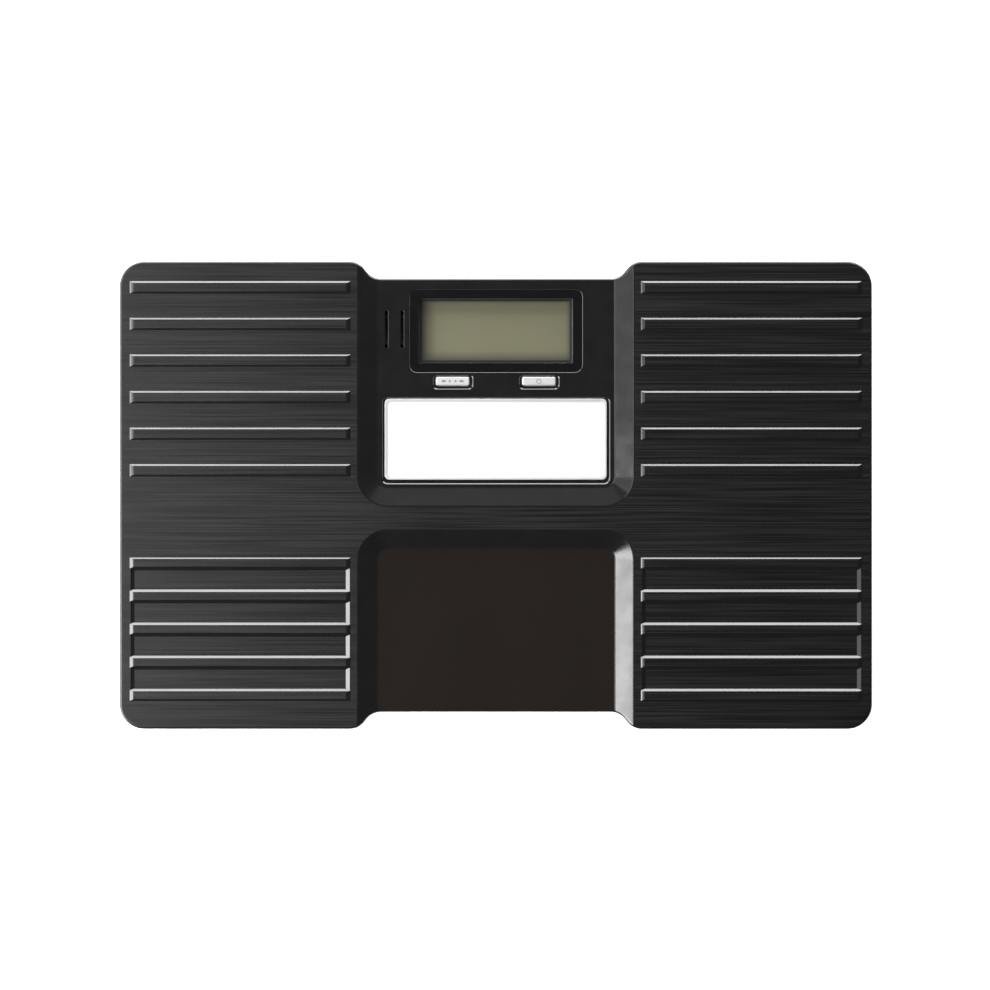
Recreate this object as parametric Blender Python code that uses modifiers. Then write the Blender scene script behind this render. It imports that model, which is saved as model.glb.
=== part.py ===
"""Extra-wide digital bathroom scale: an H-shaped ribbed platform on four load-cell feet.

Metres. +X is to the right of whoever reads the display, +Y runs towards the display,
+Z is up, and the four foot pads stand on z = 0 around the origin.
"""

import math

import bmesh
import bpy

# ---- Driving dimensions ----
GAP = 0.0003  # clearance between pieces that touch

# Outline of the platform, seen from above
HALF_WIDTH = 0.280
HALF_DEPTH = 0.174  # at the two side blocks
WAIST_HALF_DEPTH = 0.1615  # between the side blocks
WAIST_START = 0.0855  # where the waist's edge begins to swing out
WAIST_END = 0.1085  # where it reaches the side block's edge
CORNER_RADIUS = 0.0185

# Heights
BASE_Z = 0.006
SEAM_Z = 0.022
PLATEAU_Z = 0.036
WALL = 0.0024
FLOOR_WALL = 0.0027  # thickness of the recess floors
COVER_DRAFT = 0.0004
COVER_EDGE = ((COVER_DRAFT, 0.0022), (0.0010, 0.0006), (0.0022, 0.0))  # inset, drop below the plateau

# Recesses between the side blocks
RECESS_DEPTH = 0.005
RECESS_HALF_WIDTH = 0.0883  # at its floor
SLOPE_RUN = 0.0142  # plan width of its side slopes
RECESS_RADIUS = 0.008  # inner corners at the floor
RECESS_TOP_RADIUS = 0.022  # the same corners at the plateau
UPPER_END, UPPER_END_RUN = 0.0058, 0.0138  # closed end of the display recess
LOWER_END, LOWER_END_RUN = -0.0389, 0.0130  # closed end of the lower recess
OPEN_REACH = 0.25  # recess cutters run this far past the closed end
FLOOR_Z = PLATEAU_Z - RECESS_DEPTH

# Foot-grip ribs and the grooves between the lower ones
RIB_HEIGHT = 0.0012  # the upper ribs, the highest points of the object
LOWER_RIB_HEIGHT = 0.0009
RIB_INNER_X, RIB_OUTER_X = 0.108, 0.2722
RIB_END_RUN = 0.0039
UPPER_RIBS, UPPER_RIB_PITCH, UPPER_RIB_FIRST = 6, 0.02722, 0.0185
LOWER_RIBS, LOWER_RIB_PITCH, LOWER_RIB_FIRST = 5, 0.02462, -0.1489
UPPER_RIB_WIDTH, UPPER_RIB_RUN = 0.0098, 0.0016  # width at the foot, plan width of each side slope
LOWER_RIB_WIDTH, LOWER_RIB_RUN = 0.0081, 0.0012
GROOVE_DEPTH = 0.0009
GROOVE_WIDTH, GROOVE_SIDE_RUN = 0.0164, 0.0011
GROOVE_END_INSET, GROOVE_END_RUN = 0.0014, 0.0016
SINK = 0.0004  # how far a joined or cutting shape passes its surface

# Display, in the upper recess
DISPLAY_Y = 0.1225
LENS_POCKET = (0.1292, 0.0622, 0.006)  # width, depth, corner radius
LENS_POCKET_DEPTH = 0.0017
LENS_THICKNESS = 0.0013
WINDOW = (0.118, 0.053, 0.003)
FRAME_OUTER = (0.124, 0.058, 0.002)
FRAME_MOUTH = (0.1143, 0.0492, 0.002)
LCD_VIEW = (0.1087, 0.0420, 0.001)
LCD_SIZE = (0.116, 0.050, 0.0005)
LCD_THICKNESS = 0.0018
LCD_BOTTOM_Z = 0.0237
PCB_TOP_Z = 0.0228
PCB_THICKNESS = 0.0016
PCB = (0.120, 0.090, 0.002)
PCB_Y = 0.107
POST_X, POST_Y, POST_RADIUS = 0.054, 0.069, 0.003  # posts of the cover that hold the board
STAKE_RADIUS, STAKE_HOLE_RADIUS, STAKE_REACH = 0.0011, 0.0016, 0.0012

# Buttons below the display
BUTTON_X, BUTTON_Y = 0.0321, 0.0849
BUTTON = (0.0248, 0.0062, 0.0018)
BUTTON_TOP_Z = FLOOR_Z + 0.0011
BUTTON_CHAMFER = 0.0004
BUTTON_HOLE_GAP = 0.00035
BUTTON_POCKET = (0.0308, 0.0110, 0.003)
BUTTON_POCKET_DEPTH = 0.001
BUTTON_POCKET_RUN = 0.0010
BUTTON_POCKET_SHIFT = -0.0007
BUTTON_FLANGE = (0.0275, 0.0085, 0.0018)
BUTTON_FLANGE_THICKNESS = 0.0008
BUTTON_TRAVEL = 0.0006
SWITCH_SIDE, SWITCH_HEIGHT = 0.006, 0.0027
STEM_RADIUS, STEM_HEIGHT = 0.0016, 0.0019

# Name plate below the buttons
PLATE_Y = 0.0417
PLATE = (0.1653, 0.0603, 0.0035)
PLATE_POCKET = (0.1705, 0.0655, 0.0045)
PLATE_POCKET_Y = 0.0408
PLATE_POCKET_DEPTH = 0.0012
PLATE_RIM_Z = FLOOR_Z + 0.0002
PLATE_FACE_Z = FLOOR_Z - 0.0004
PLATE_RIM, PLATE_BEVEL = 0.0006, 0.0035  # flat rim, and how far in the sunk face starts

# Speaker, left of the display
SPEAKER_X, SPEAKER_Y = -0.0755, 0.1234
SLOT_PITCH, SLOT_WIDTH, SLOT_LENGTH = 0.0117, 0.0020, 0.0276
SPEAKER_RADIUS, MAGNET_RADIUS = 0.0122, 0.0075
SPEAKER_BOTTOM_Z = 0.0200

# Feet and load cells, in the four corners
FOOT_X, FOOT_Y = 0.243, 0.137
PAD_RADIUS, PAD_HEIGHT = 0.013, 0.0022
FOOT_RADIUS, FOOT_DISC_TOP_Z = 0.015, 0.0068
FOOT_STEM_RADIUS, FOOT_TOP_Z = 0.009, 0.0107
FOOT_HOLE_RADIUS = 0.017
CARRIER_SIDE, CARRIER_TOP_Z, CARRIER_LEDGE_Z = 0.046, 0.0165, 0.0110
CARRIER_POCKET, CARRIER_HOLE_RADIUS = 0.0348, 0.012
CELL_SIDE, CELL_THICKNESS = 0.034, 0.003
CELL_SLOT, CELL_TONGUE = 0.0022, 0.014

# Bottom housing
HOUSING_INSET, HOUSING_KNEE_INSET, HOUSING_BASE_INSET = 0.0012, 0.0035, 0.0090
KNEE_Z = 0.012
HOUSING_WALL = 0.0022
HOUSING_TOP_Z = SEAM_Z - GAP
HOUSING_FLOOR_Z = BASE_Z + HOUSING_WALL

# Screws that hold the two shells together
SCREWS = [(sx * 0.150, sy * 0.148) for sx in (-1, 1) for sy in (-1, 1)] + [(-0.258, 0), (0.258, 0)]
BOSS_RADIUS, COVER_BOSS_RADIUS = 0.0062, 0.0045
SCREW_HOLE_RADIUS, SCREW_RADIUS = 0.00205, 0.00175
SCREW_HEAD_RADIUS, SCREW_HEAD_Z, SCREW_SHOULDER_Z = 0.0035, 0.0068, 0.0092
COUNTERBORE_RADIUS = 0.0042
CROSS_ARM, CROSS_HALF_WIDTH, CROSS_DEPTH = 0.0019, 0.00045, 0.0014
SCREW_TIP_Z = 0.0285

# Steel plates under the side blocks
STIFFENER_X = (0.112, 0.270)
STIFFENER_DEPTH = 0.320
STIFFENER_THICKNESS = 0.0015

# Battery bay on the underside
BAY_Y = -0.090
BAY_FLANGE = (0.084, 0.084, 0.004)
BAY_FLANGE_TOP_Z = 0.0105
BAY_OUTER = (0.066, 0.066, 0.002)
BAY_INNER = (0.061, 0.0615, 0.001)
BAY_TOP_Z, BAY_CEILING_Z = 0.0258, 0.0238
DOOR = (0.074, 0.070, 0.003)
DOOR_THICKNESS = 0.002
DOOR_TAB_X, DOOR_TAB_WIDTH, DOOR_TAB_REACH, DOOR_TAB_THICKNESS = 0.022, 0.008, 0.003, 0.0008
DOOR_TAB_ROOM, DOOR_TAB_SWING = 0.0015, 0.0030  # room before a tab, and behind the hinge line
LATCH_WIDTH, LATCH_THICKNESS, LATCH_HEIGHT, LATCH_INSET = 0.014, 0.0010, 0.0038, 0.0009
LATCH_ROOM, LATCH_NOTCH_SHIFT = 0.001, 0.0002
BATTERIES, BATTERY_PITCH = 4, 0.0150
BATTERY_RADIUS, BATTERY_LENGTH = 0.00725, 0.0505
NUB_RADIUS, NUB_LENGTH = 0.00275, 0.0013
BATTERY_Z = 0.0161
TERMINAL_THICKNESS, TERMINAL_DEPTH, TERMINAL_HEIGHT = 0.0005, 0.056, 0.0115
SPRING_RADII, SPRING_WIRE, SPRING_TURNS = (0.0045, 0.0028), 0.00035, 3

LEAD_RADIUS = 0.0008
THIN_LEAD_RADIUS = 0.0006

ARC_STEPS = 6
SMOOTH_ANGLE = math.radians(35)


# ---- Scene ----
for existing in list(bpy.data.objects):
    bpy.data.objects.remove(existing, do_unlink=True)


def new_collection(name):
    made = bpy.data.collections.new(name)
    bpy.context.scene.collection.children.link(made)
    return made


parts = new_collection("digital_scale")
cutters = new_collection("cutters")


def material(name, colour, roughness, metallic=0.0, transmission=0.0):
    made = bpy.data.materials.new(name)
    made.use_nodes = True
    shader = made.node_tree.nodes["Principled BSDF"]
    shader.inputs["Base Color"].default_value = (*colour, 1.0)
    shader.inputs["Roughness"].default_value = roughness
    shader.inputs["Metallic"].default_value = metallic
    shader.inputs["Transmission Weight"].default_value = transmission
    return made


# ---- Outlines: lists of (x, y), anticlockwise ----
def arc(centre, radius, start, end, steps=ARC_STEPS):
    """Points along an arc between two angles in degrees."""
    angles = [math.radians(start + (end - start) * i / steps) for i in range(steps + 1)]
    return [(centre[0] + radius * math.cos(a), centre[1] + radius * math.sin(a)) for a in angles]


def platform_outline(inset):
    """The platform's edge moved inwards: the quarter at +X +Y and its mirror images."""
    run = WAIST_END - WAIST_START
    rise = HALF_DEPTH - WAIST_HALF_DEPTH
    radius = (run**2 + rise**2) / (4 * rise)
    swing = math.degrees(math.asin(run / 2 / radius))
    hollow = arc((WAIST_START, WAIST_HALF_DEPTH + radius), radius + inset, 270, 270 + swing)
    crown = arc((WAIST_END, HALF_DEPTH - radius), radius - inset, 90 + swing, 90)
    corner_centre = (HALF_WIDTH - CORNER_RADIUS, HALF_DEPTH - CORNER_RADIUS)
    corner = arc(corner_centre, CORNER_RADIUS - inset, 90, 0)
    quarter = hollow + crown[1:] + corner
    right = quarter + [(x, -y) for x, y in reversed(quarter)]
    clockwise = right + [(-x, y) for x, y in reversed(right)]
    return clockwise[::-1]


def rounded_rectangle(centre, size, grow=0.0, steps=3):
    """A rectangle of size (width, depth, corner radius), grown outwards on every side."""
    width, depth, radius = size[0] + 2 * grow, size[1] + 2 * grow, max(size[2] + grow, 0.0003)
    points = []
    for quarter, (sx, sy) in enumerate(((1, 1), (-1, 1), (-1, -1), (1, -1))):
        corner = (centre[0] + sx * (width / 2 - radius), centre[1] + sy * (depth / 2 - radius))
        points += arc(corner, radius, 90 * quarter, 90 * quarter + 90, steps)
    return points


def recess_outline(closed_end, direction, half_width, radius):
    """A bay with round corners at its closed end, running on past the platform's edge."""
    left = arc((-half_width + radius, radius), radius, 180, 270)
    right = arc((half_width - radius, radius), radius, 270, 360)
    points = [(half_width, OPEN_REACH), (-half_width, OPEN_REACH)] + left + right
    placed = [(x, closed_end + direction * y) for x, y in points]
    return placed if direction > 0 else placed[::-1]


# ---- Solids ----
def add(name, mesh, collection, location=(0, 0, 0)):
    made = bpy.data.objects.new(name, mesh)
    made.location = location
    collection.objects.link(made)
    if collection is cutters:
        made.hide_render = True
        made.display_type = "WIRE"
    return made


def loft_into(shape, rings):
    """Adds a closed solid to a bmesh, through (outline, z) rings from the lowest up."""
    loops = [[shape.verts.new((x, y, z)) for x, y in outline] for outline, z in rings]
    shape.faces.new(loops[0][::-1])
    shape.faces.new(loops[-1])
    for low, high in zip(loops, loops[1:]):
        for i, corner in enumerate(low):
            j = (i + 1) % len(low)
            shape.faces.new((corner, low[j], high[j], high[i]))


def lofts(name, solids, collection):
    """One object holding a loft for each list of rings."""
    shape = bmesh.new()
    for rings in solids:
        loft_into(shape, rings)
    mesh = bpy.data.meshes.new(name)
    shape.to_mesh(mesh)
    shape.free()
    return add(name, mesh, collection)


def prism(name, outline, low, high, collection, holes=()):
    """A flat outline with its holes, filled as a 2D curve, pulled from low up to high."""
    curve = bpy.data.curves.new(name, "CURVE")
    curve.dimensions = "2D"
    curve.fill_mode = "BOTH"
    curve.extrude = (high - low) / 2
    for points in (outline, *holes):
        spline = curve.splines.new("POLY")
        spline.points.add(len(points) - 1)
        spline.use_cyclic_u = True
        for target, (x, y) in zip(spline.points, points):
            target.co = (x, y, 0, 1)
    guide = add(name, curve, cutters, (0, 0, (low + high) / 2))
    mesh = mesh_of(guide)
    return add(name, mesh, collection, (0, 0, (low + high) / 2))


def mesh_of(source):
    """The evaluated mesh of an object, welded, with the object removed."""
    bpy.context.view_layer.update()
    graph = bpy.context.evaluated_depsgraph_get()
    mesh = bpy.data.meshes.new_from_object(source.evaluated_get(graph))
    bpy.data.objects.remove(source, do_unlink=True)
    shape = bmesh.new()
    shape.from_mesh(mesh)
    bmesh.ops.remove_doubles(shape, verts=shape.verts, dist=1e-6)
    bmesh.ops.recalc_face_normals(shape, faces=shape.faces)
    shape.to_mesh(mesh)
    shape.free()
    return mesh


def cylinder(name, centre, radius, low, high, collection, sides=20):
    shape = bmesh.new()
    bmesh.ops.create_cone(
        shape, cap_ends=True, segments=sides, radius1=radius, radius2=radius, depth=high - low
    )
    mesh = bpy.data.meshes.new(name)
    shape.to_mesh(mesh)
    shape.free()
    return add(name, mesh, collection, (*centre, (low + high) / 2))


def box(name, centre, size, collection):
    shape = bmesh.new()
    bmesh.ops.create_cube(shape, size=1)
    bmesh.ops.scale(shape, vec=size, verts=shape.verts)
    mesh = bpy.data.meshes.new(name)
    shape.to_mesh(mesh)
    shape.free()
    return add(name, mesh, collection, centre)


def turned(name, profile, collection, steps=24):
    """A profile of (radius, z) points, from the axis at the top down its outer side, spun round Z."""
    mesh = bpy.data.meshes.new(name)
    points = [(radius, 0, z) for radius, z in profile]
    mesh.from_pydata(points, [(i, i + 1) for i in range(len(points) - 1)], [])
    made = add(name, mesh, collection)
    spin = made.modifiers.new("spin", "SCREW")
    spin.steps = steps
    spin.render_steps = steps
    spin.use_merge_vertices = True
    spin.merge_threshold = 1e-5
    return made


def combine(target, other, operation):
    change = target.modifiers.new(other.name, "BOOLEAN")
    change.operation = operation
    change.object = other


def cut(target, *others):
    for other in others:
        combine(target, other, "DIFFERENCE")


def join(target, *others):
    for other in others:
        combine(target, other, "UNION")


def tube(name, points, radius, collection, resolution=2):
    """A round wire along a list of points."""
    curve = bpy.data.curves.new(name, "CURVE")
    curve.dimensions = "3D"
    curve.bevel_depth = radius
    curve.bevel_resolution = resolution
    curve.use_fill_caps = True
    spline = curve.splines.new("POLY")
    spline.points.add(len(points) - 1)
    for target, point in zip(spline.points, points):
        target.co = (*point, 1)
    return add(name, curve, collection)


def through(points, steps=4):
    """A smooth curve read at even steps between the points it passes through."""
    padded = [points[0], *points, points[-1]]
    read = []
    for i in range(len(points) - 1):
        a, b, c, d = padded[i : i + 4]
        for step in range(steps):
            t = step / steps
            read.append(
                tuple(
                    q
                    + (r - p) * t / 2
                    + (2 * p - 5 * q + 4 * r - s) * t**2 / 2
                    + (3 * q - p - 3 * r + s) * t**3 / 2
                    for p, q, r, s in zip(a, b, c, d)
                )
            )
    return [*read, points[-1]]


def dress(made, look, smooth=False):
    """Gives a sub-part its material and, where it is round, smooth shading."""
    if smooth and made.type == "MESH":
        made.data.shade_smooth()
        made.data.set_sharp_from_angle(angle=SMOOTH_ANGLE)
    made.data.materials.clear()
    made.data.materials.append(look)
    return made


# ---- Top cover ----
def recess_rings(closed_end, end_run, direction, drop=0.0):
    """The lower and upper ring of a recess, carried on above the plateau, or of its lining below."""
    rings = []
    for share in (0.0, 1.3):
        outline = recess_outline(
            closed_end - direction * share * end_run,
            direction,
            RECESS_HALF_WIDTH + share * SLOPE_RUN,
            RECESS_RADIUS + share * (RECESS_TOP_RADIUS - RECESS_RADIUS),
        )
        rings.append((outline, FLOOR_Z - drop + share * RECESS_DEPTH))
    return rings


def both_recesses(name, drop=0.0):
    return lofts(
        name,
        [
            recess_rings(UPPER_END, UPPER_END_RUN, 1, drop),
            recess_rings(LOWER_END, LOWER_END_RUN, -1, drop),
        ],
        cutters,
    )


def bar_rings(side, y, base, inset, rise, sink):
    """A rib or a groove: a rectangle (inner x, outer x, width) that narrows by inset over rise."""
    inner, outer, width = base
    run_x, run_y = inset
    rings = []
    for share in (-sink / abs(rise), 1.0):
        x_low, x_high = inner + share * run_x, outer - share * run_x
        half = width / 2 - share * run_y
        corners = [(x_low, y - half), (x_high, y - half), (x_high, y + half), (x_low, y + half)]
        if side < 0:
            corners = [(-x, y_corner) for x, y_corner in reversed(corners)]
        rings.append((corners, PLATEAU_Z + share * rise))
    return rings if rise > 0 else rings[::-1]


def ribs():
    solids = []
    upper = (UPPER_RIBS, UPPER_RIB_PITCH, UPPER_RIB_FIRST, UPPER_RIB_WIDTH, UPPER_RIB_RUN, RIB_HEIGHT)
    lower = (LOWER_RIBS, LOWER_RIB_PITCH, LOWER_RIB_FIRST, LOWER_RIB_WIDTH, LOWER_RIB_RUN, LOWER_RIB_HEIGHT)
    for count, pitch, first, width, run, height in (upper, lower):
        base = (RIB_INNER_X, RIB_OUTER_X, width)
        inset = (RIB_END_RUN, run)
        for side in (-1, 1):
            for i in range(count):
                solids.append(bar_rings(side, first + i * pitch, base, inset, height, SINK))
    return lofts("ribs", solids, cutters)


def grooves():
    solids = []
    base = (RIB_INNER_X + GROOVE_END_INSET, RIB_OUTER_X - GROOVE_END_INSET, GROOVE_WIDTH)
    inset = (GROOVE_END_RUN, GROOVE_SIDE_RUN)
    for side in (-1, 1):
        for i in range(LOWER_RIBS - 1):
            y = LOWER_RIB_FIRST + (i + 0.5) * LOWER_RIB_PITCH
            solids.append(bar_rings(side, y, base, inset, -GROOVE_DEPTH, SINK))
    return lofts("grooves", solids, cutters)


def top_cover():
    edges = [(0.0, SEAM_Z)] + [(inset, PLATEAU_Z - drop) for inset, drop in COVER_EDGE]
    cover = lofts("top_cover", [[(platform_outline(inset), z) for inset, z in edges]], parts)
    inner = ((WALL, SEAM_Z - SINK), (WALL + COVER_DRAFT, PLATEAU_Z - WALL))
    cavity = lofts("cover_cavity", [[(platform_outline(inset), z) for inset, z in inner]], cutters)
    cut(cavity, both_recesses("cover_lining", FLOOR_WALL))
    cut(cover, cavity)
    for number, centre in enumerate(SCREWS):
        boss = cylinder(
            f"cover_boss_{number}", centre, COVER_BOSS_RADIUS, SEAM_Z, PLATEAU_Z - WALL + SINK, cutters, 12
        )
        join(cover, boss)
    for number, centre in enumerate(SCREWS):
        pilot = cylinder(
            f"cover_pilot_{number}", centre, SCREW_HOLE_RADIUS, SEAM_Z - SINK, SCREW_TIP_Z + GAP, cutters, 10
        )
        cut(cover, pilot)
    join(cover, ribs())
    cut(cover, grooves(), both_recesses("recesses"))
    cut(cover, *display_openings(), *button_openings(), *speaker_slots())
    above = FLOOR_Z + SINK
    pocket = rounded_rectangle((0, PLATE_POCKET_Y), PLATE_POCKET)
    cut(cover, prism("plate_pocket", pocket, FLOOR_Z - PLATE_POCKET_DEPTH, above, cutters))
    join(cover, *pcb_posts())
    return dress(cover, material("cover_black", (0.016, 0.017, 0.019), 0.3))


def display_openings():
    above = FLOOR_Z + SINK
    below = FLOOR_Z - FLOOR_WALL - SINK
    centre = (0, DISPLAY_Y)
    pocket = prism(
        "lens_pocket", rounded_rectangle(centre, LENS_POCKET), FLOOR_Z - LENS_POCKET_DEPTH, above, cutters
    )
    window = prism("display_window", rounded_rectangle(centre, WINDOW), below, above, cutters)
    return [pocket, window]


def button_openings():
    made = []
    for name, side in (("mode", -1), ("on", 1)):
        centre = (side * BUTTON_X, BUTTON_Y + BUTTON_POCKET_SHIFT)
        flare = BUTTON_POCKET_RUN * SINK / BUTTON_POCKET_DEPTH
        pocket = [
            (rounded_rectangle(centre, BUTTON_POCKET, -BUTTON_POCKET_RUN), FLOOR_Z - BUTTON_POCKET_DEPTH),
            (rounded_rectangle(centre, BUTTON_POCKET, flare), FLOOR_Z + SINK),
        ]
        hole = rounded_rectangle((side * BUTTON_X, BUTTON_Y), BUTTON, BUTTON_HOLE_GAP)
        made.append(lofts(f"{name}_button_pocket", [pocket], cutters))
        made.append(prism(f"{name}_button_hole", hole, FLOOR_Z - FLOOR_WALL - SINK, FLOOR_Z, cutters))
    return made


def speaker_slots():
    made = []
    below = FLOOR_Z - FLOOR_WALL - SINK
    for number, side in enumerate((-1, 1)):
        centre = (SPEAKER_X + side * SLOT_PITCH / 2, SPEAKER_Y)
        slot = rounded_rectangle(centre, (SLOT_WIDTH, SLOT_LENGTH, SLOT_WIDTH / 2 - 0.0001))
        made.append(prism(f"speaker_slot_{number}", slot, below, FLOOR_Z + SINK, cutters))
    return made


def pcb_posts():
    """Two posts under the recess floor, each with a stake that passes through the board."""
    made = []
    for number, side in enumerate((-1, 1)):
        centre = (side * POST_X, POST_Y)
        root_z = FLOOR_Z - FLOOR_WALL + SINK
        tip_z = PCB_TOP_Z - PCB_THICKNESS - STAKE_REACH
        post = cylinder(f"pcb_post_{number}", centre, POST_RADIUS, PCB_TOP_Z + GAP, root_z, cutters, 12)
        stake = cylinder(f"pcb_stake_{number}", centre, STAKE_RADIUS, tip_z, root_z, cutters, 8)
        made += [post, stake]
    return made


# ---- Display stack, buttons and plate ----
def name_plate():
    centre = (0, PLATE_Y)
    bottom = FLOOR_Z - PLATE_POCKET_DEPTH + GAP
    full = rounded_rectangle(centre, PLATE)
    rim = rounded_rectangle(centre, PLATE, -PLATE_RIM)
    face = rounded_rectangle(centre, PLATE, -PLATE_BEVEL)
    rings = [(full, bottom), (full, PLATE_RIM_Z), (rim, PLATE_RIM_Z), (face, PLATE_FACE_Z)]
    dress(lofts("name_plate", [rings], parts), material("plate_white", (0.86, 0.86, 0.86), 0.35))


def display_stack():
    centre = (0, DISPLAY_Y)
    lens_bottom = FLOOR_Z - LENS_POCKET_DEPTH + GAP
    lens = prism(
        "display_lens",
        rounded_rectangle(centre, LENS_POCKET, -GAP),
        lens_bottom,
        lens_bottom + LENS_THICKNESS,
        parts,
    )
    dress(lens, material("lens_clear", (0.9, 0.9, 0.9), 0.05, transmission=0.9))

    top = FLOOR_Z - FLOOR_WALL - GAP
    lcd_top = LCD_BOTTOM_Z + LCD_THICKNESS
    frame = prism("display_frame", rounded_rectangle(centre, FRAME_OUTER), PCB_TOP_Z + GAP, top, parts)
    pocket = rounded_rectangle(centre, LCD_SIZE, GAP)
    mouth = [
        (rounded_rectangle(centre, LCD_VIEW), lcd_top - SINK),
        (rounded_rectangle(centre, FRAME_MOUTH), top + GAP),
    ]
    cut(
        frame,
        prism("lcd_pocket", pocket, PCB_TOP_Z - SINK, lcd_top + GAP, cutters),
        lofts("frame_mouth", [mouth], cutters),
    )
    dress(frame, material("frame_black", (0.012, 0.012, 0.013), 0.25))

    lcd = prism("lcd_panel", rounded_rectangle(centre, LCD_SIZE), LCD_BOTTOM_Z, lcd_top, parts)
    dress(lcd, material("lcd_grey", (0.30, 0.31, 0.24), 0.25))


def main_pcb():
    outline = rounded_rectangle((0, PCB_Y), PCB)
    holes = [arc((side * POST_X, POST_Y), STAKE_HOLE_RADIUS, 0, 330, 11) for side in (-1, 1)]
    board = prism("main_pcb", outline, PCB_TOP_Z - PCB_THICKNESS, PCB_TOP_Z, parts, holes)
    dress(board, material("board_green", (0.02, 0.16, 0.06), 0.4))


def buttons():
    silver = material("button_silver", (0.72, 0.72, 0.73), 0.3)
    switch_black = material("switch_black", (0.02, 0.02, 0.02), 0.5)
    stem_white = material("stem_white", (0.8, 0.8, 0.78), 0.4)
    flange_top = FLOOR_Z - FLOOR_WALL - GAP
    flange_bottom = flange_top - BUTTON_FLANGE_THICKNESS
    for name, side in (("mode", -1), ("on", 1)):
        centre = (side * BUTTON_X, BUTTON_Y)
        cap = [
            (rounded_rectangle(centre, BUTTON), flange_bottom + SINK),
            (rounded_rectangle(centre, BUTTON), BUTTON_TOP_Z - BUTTON_CHAMFER),
            (rounded_rectangle(centre, BUTTON, -BUTTON_CHAMFER), BUTTON_TOP_Z),
        ]
        button = lofts(f"{name}_button", [cap], parts)
        flange = rounded_rectangle(centre, BUTTON_FLANGE)
        join(button, prism(f"{name}_flange", flange, flange_bottom, flange_top, cutters))
        dress(button, silver)

        body_bottom = PCB_TOP_Z + GAP
        stem_top = flange_bottom - GAP
        stem_bottom = stem_top - STEM_HEIGHT
        body = box(
            f"{name}_switch",
            (*centre, body_bottom + SWITCH_HEIGHT / 2),
            (SWITCH_SIDE, SWITCH_SIDE, SWITCH_HEIGHT),
            parts,
        )
        well = cylinder(
            f"{name}_switch_well",
            centre,
            STEM_RADIUS + GAP,
            stem_bottom - BUTTON_TRAVEL - GAP,
            body_bottom + SWITCH_HEIGHT + SINK,
            cutters,
            16,
        )
        cut(body, well)
        dress(body, switch_black)
        stem = cylinder(f"{name}_switch_stem", centre, STEM_RADIUS, stem_bottom, stem_top, parts, 16)
        dress(stem, stem_white, smooth=True)


def speaker():
    top = FLOOR_Z - FLOOR_WALL - GAP
    rim, magnet = SPEAKER_RADIUS, MAGNET_RADIUS
    basket = [
        (0, SPEAKER_BOTTOM_Z + 0.0035),
        (magnet - 0.001, SPEAKER_BOTTOM_Z + 0.0035),
        (rim - 0.0012, top - 0.0012),
        (rim - 0.0012, top),
        (rim, top),
        (rim, top - 0.0016),
        (magnet, SPEAKER_BOTTOM_Z + 0.0028),
        (magnet, SPEAKER_BOTTOM_Z),
        (0, SPEAKER_BOTTOM_Z),
    ]
    frame = turned("speaker", basket, parts)
    frame.location = (SPEAKER_X, SPEAKER_Y, 0)
    dress(frame, material("speaker_metal", (0.25, 0.25, 0.26), 0.4, 0.9), smooth=True)
    cone_rise = 0.0005
    cone = [
        (0, SPEAKER_BOTTOM_Z + 0.0050),
        (0.0030, SPEAKER_BOTTOM_Z + 0.0055),
        (rim - 0.0016, top - cone_rise),
        (rim - 0.0016, top - cone_rise - 0.0004),
        (0.0030, SPEAKER_BOTTOM_Z + 0.0045),
        (0.0030, SPEAKER_BOTTOM_Z + 0.0039),
        (0, SPEAKER_BOTTOM_Z + 0.0039),
    ]
    made = turned("speaker_cone", cone, parts)
    made.location = (SPEAKER_X, SPEAKER_Y, 0)
    dress(made, material("cone_paper", (0.05, 0.05, 0.05), 0.8), smooth=True)


# ---- Feet and load cells ----
def corners():
    """The four corners: name, x sign and y sign. Front is the edge nearest the user."""
    return (("front_left", -1, -1), ("front_right", 1, -1), ("rear_left", -1, 1), ("rear_right", 1, 1))


def foot_mesh():
    foot_low = PAD_HEIGHT + GAP
    profile = [
        (0, FOOT_TOP_Z),
        (FOOT_STEM_RADIUS - 0.001, FOOT_TOP_Z),
        (FOOT_STEM_RADIUS, FOOT_TOP_Z - 0.001),
        (FOOT_STEM_RADIUS, FOOT_DISC_TOP_Z),
        (FOOT_RADIUS - 0.0008, FOOT_DISC_TOP_Z),
        (FOOT_RADIUS, FOOT_DISC_TOP_Z - 0.0008),
        (FOOT_RADIUS, foot_low + 0.0008),
        (FOOT_RADIUS - 0.0008, foot_low),
        (0, foot_low),
    ]
    return mesh_of(turned("foot", profile, cutters, 28))


def pad_mesh():
    profile = [
        (0, PAD_HEIGHT),
        (PAD_RADIUS, PAD_HEIGHT),
        (PAD_RADIUS, 0.0005),
        (PAD_RADIUS - 0.0005, 0),
        (0, 0),
    ]
    return mesh_of(turned("foot_pad", profile, cutters, 28))


def cell_mesh():
    """A square steel plate with a U-shaped slot that frees a tongue in its middle."""
    bottom = CARRIER_LEDGE_Z + GAP
    half = CELL_SIDE / 2
    outer, inner, end = CELL_TONGUE / 2 + CELL_SLOT, CELL_TONGUE / 2, half - 0.006
    slot = [
        (-outer, -end),
        (-inner, -end),
        (-inner, end - CELL_SLOT),
        (inner, end - CELL_SLOT),
        (inner, -end),
        (outer, -end),
        (outer, end),
        (-outer, end),
    ]
    plate = prism(
        "load_cell",
        rounded_rectangle((0, 0), (CELL_SIDE, CELL_SIDE, 0.003)),
        bottom,
        bottom + CELL_THICKNESS,
        cutters,
        [slot],
    )
    return mesh_of(plate), bottom + CELL_THICKNESS / 2


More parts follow.
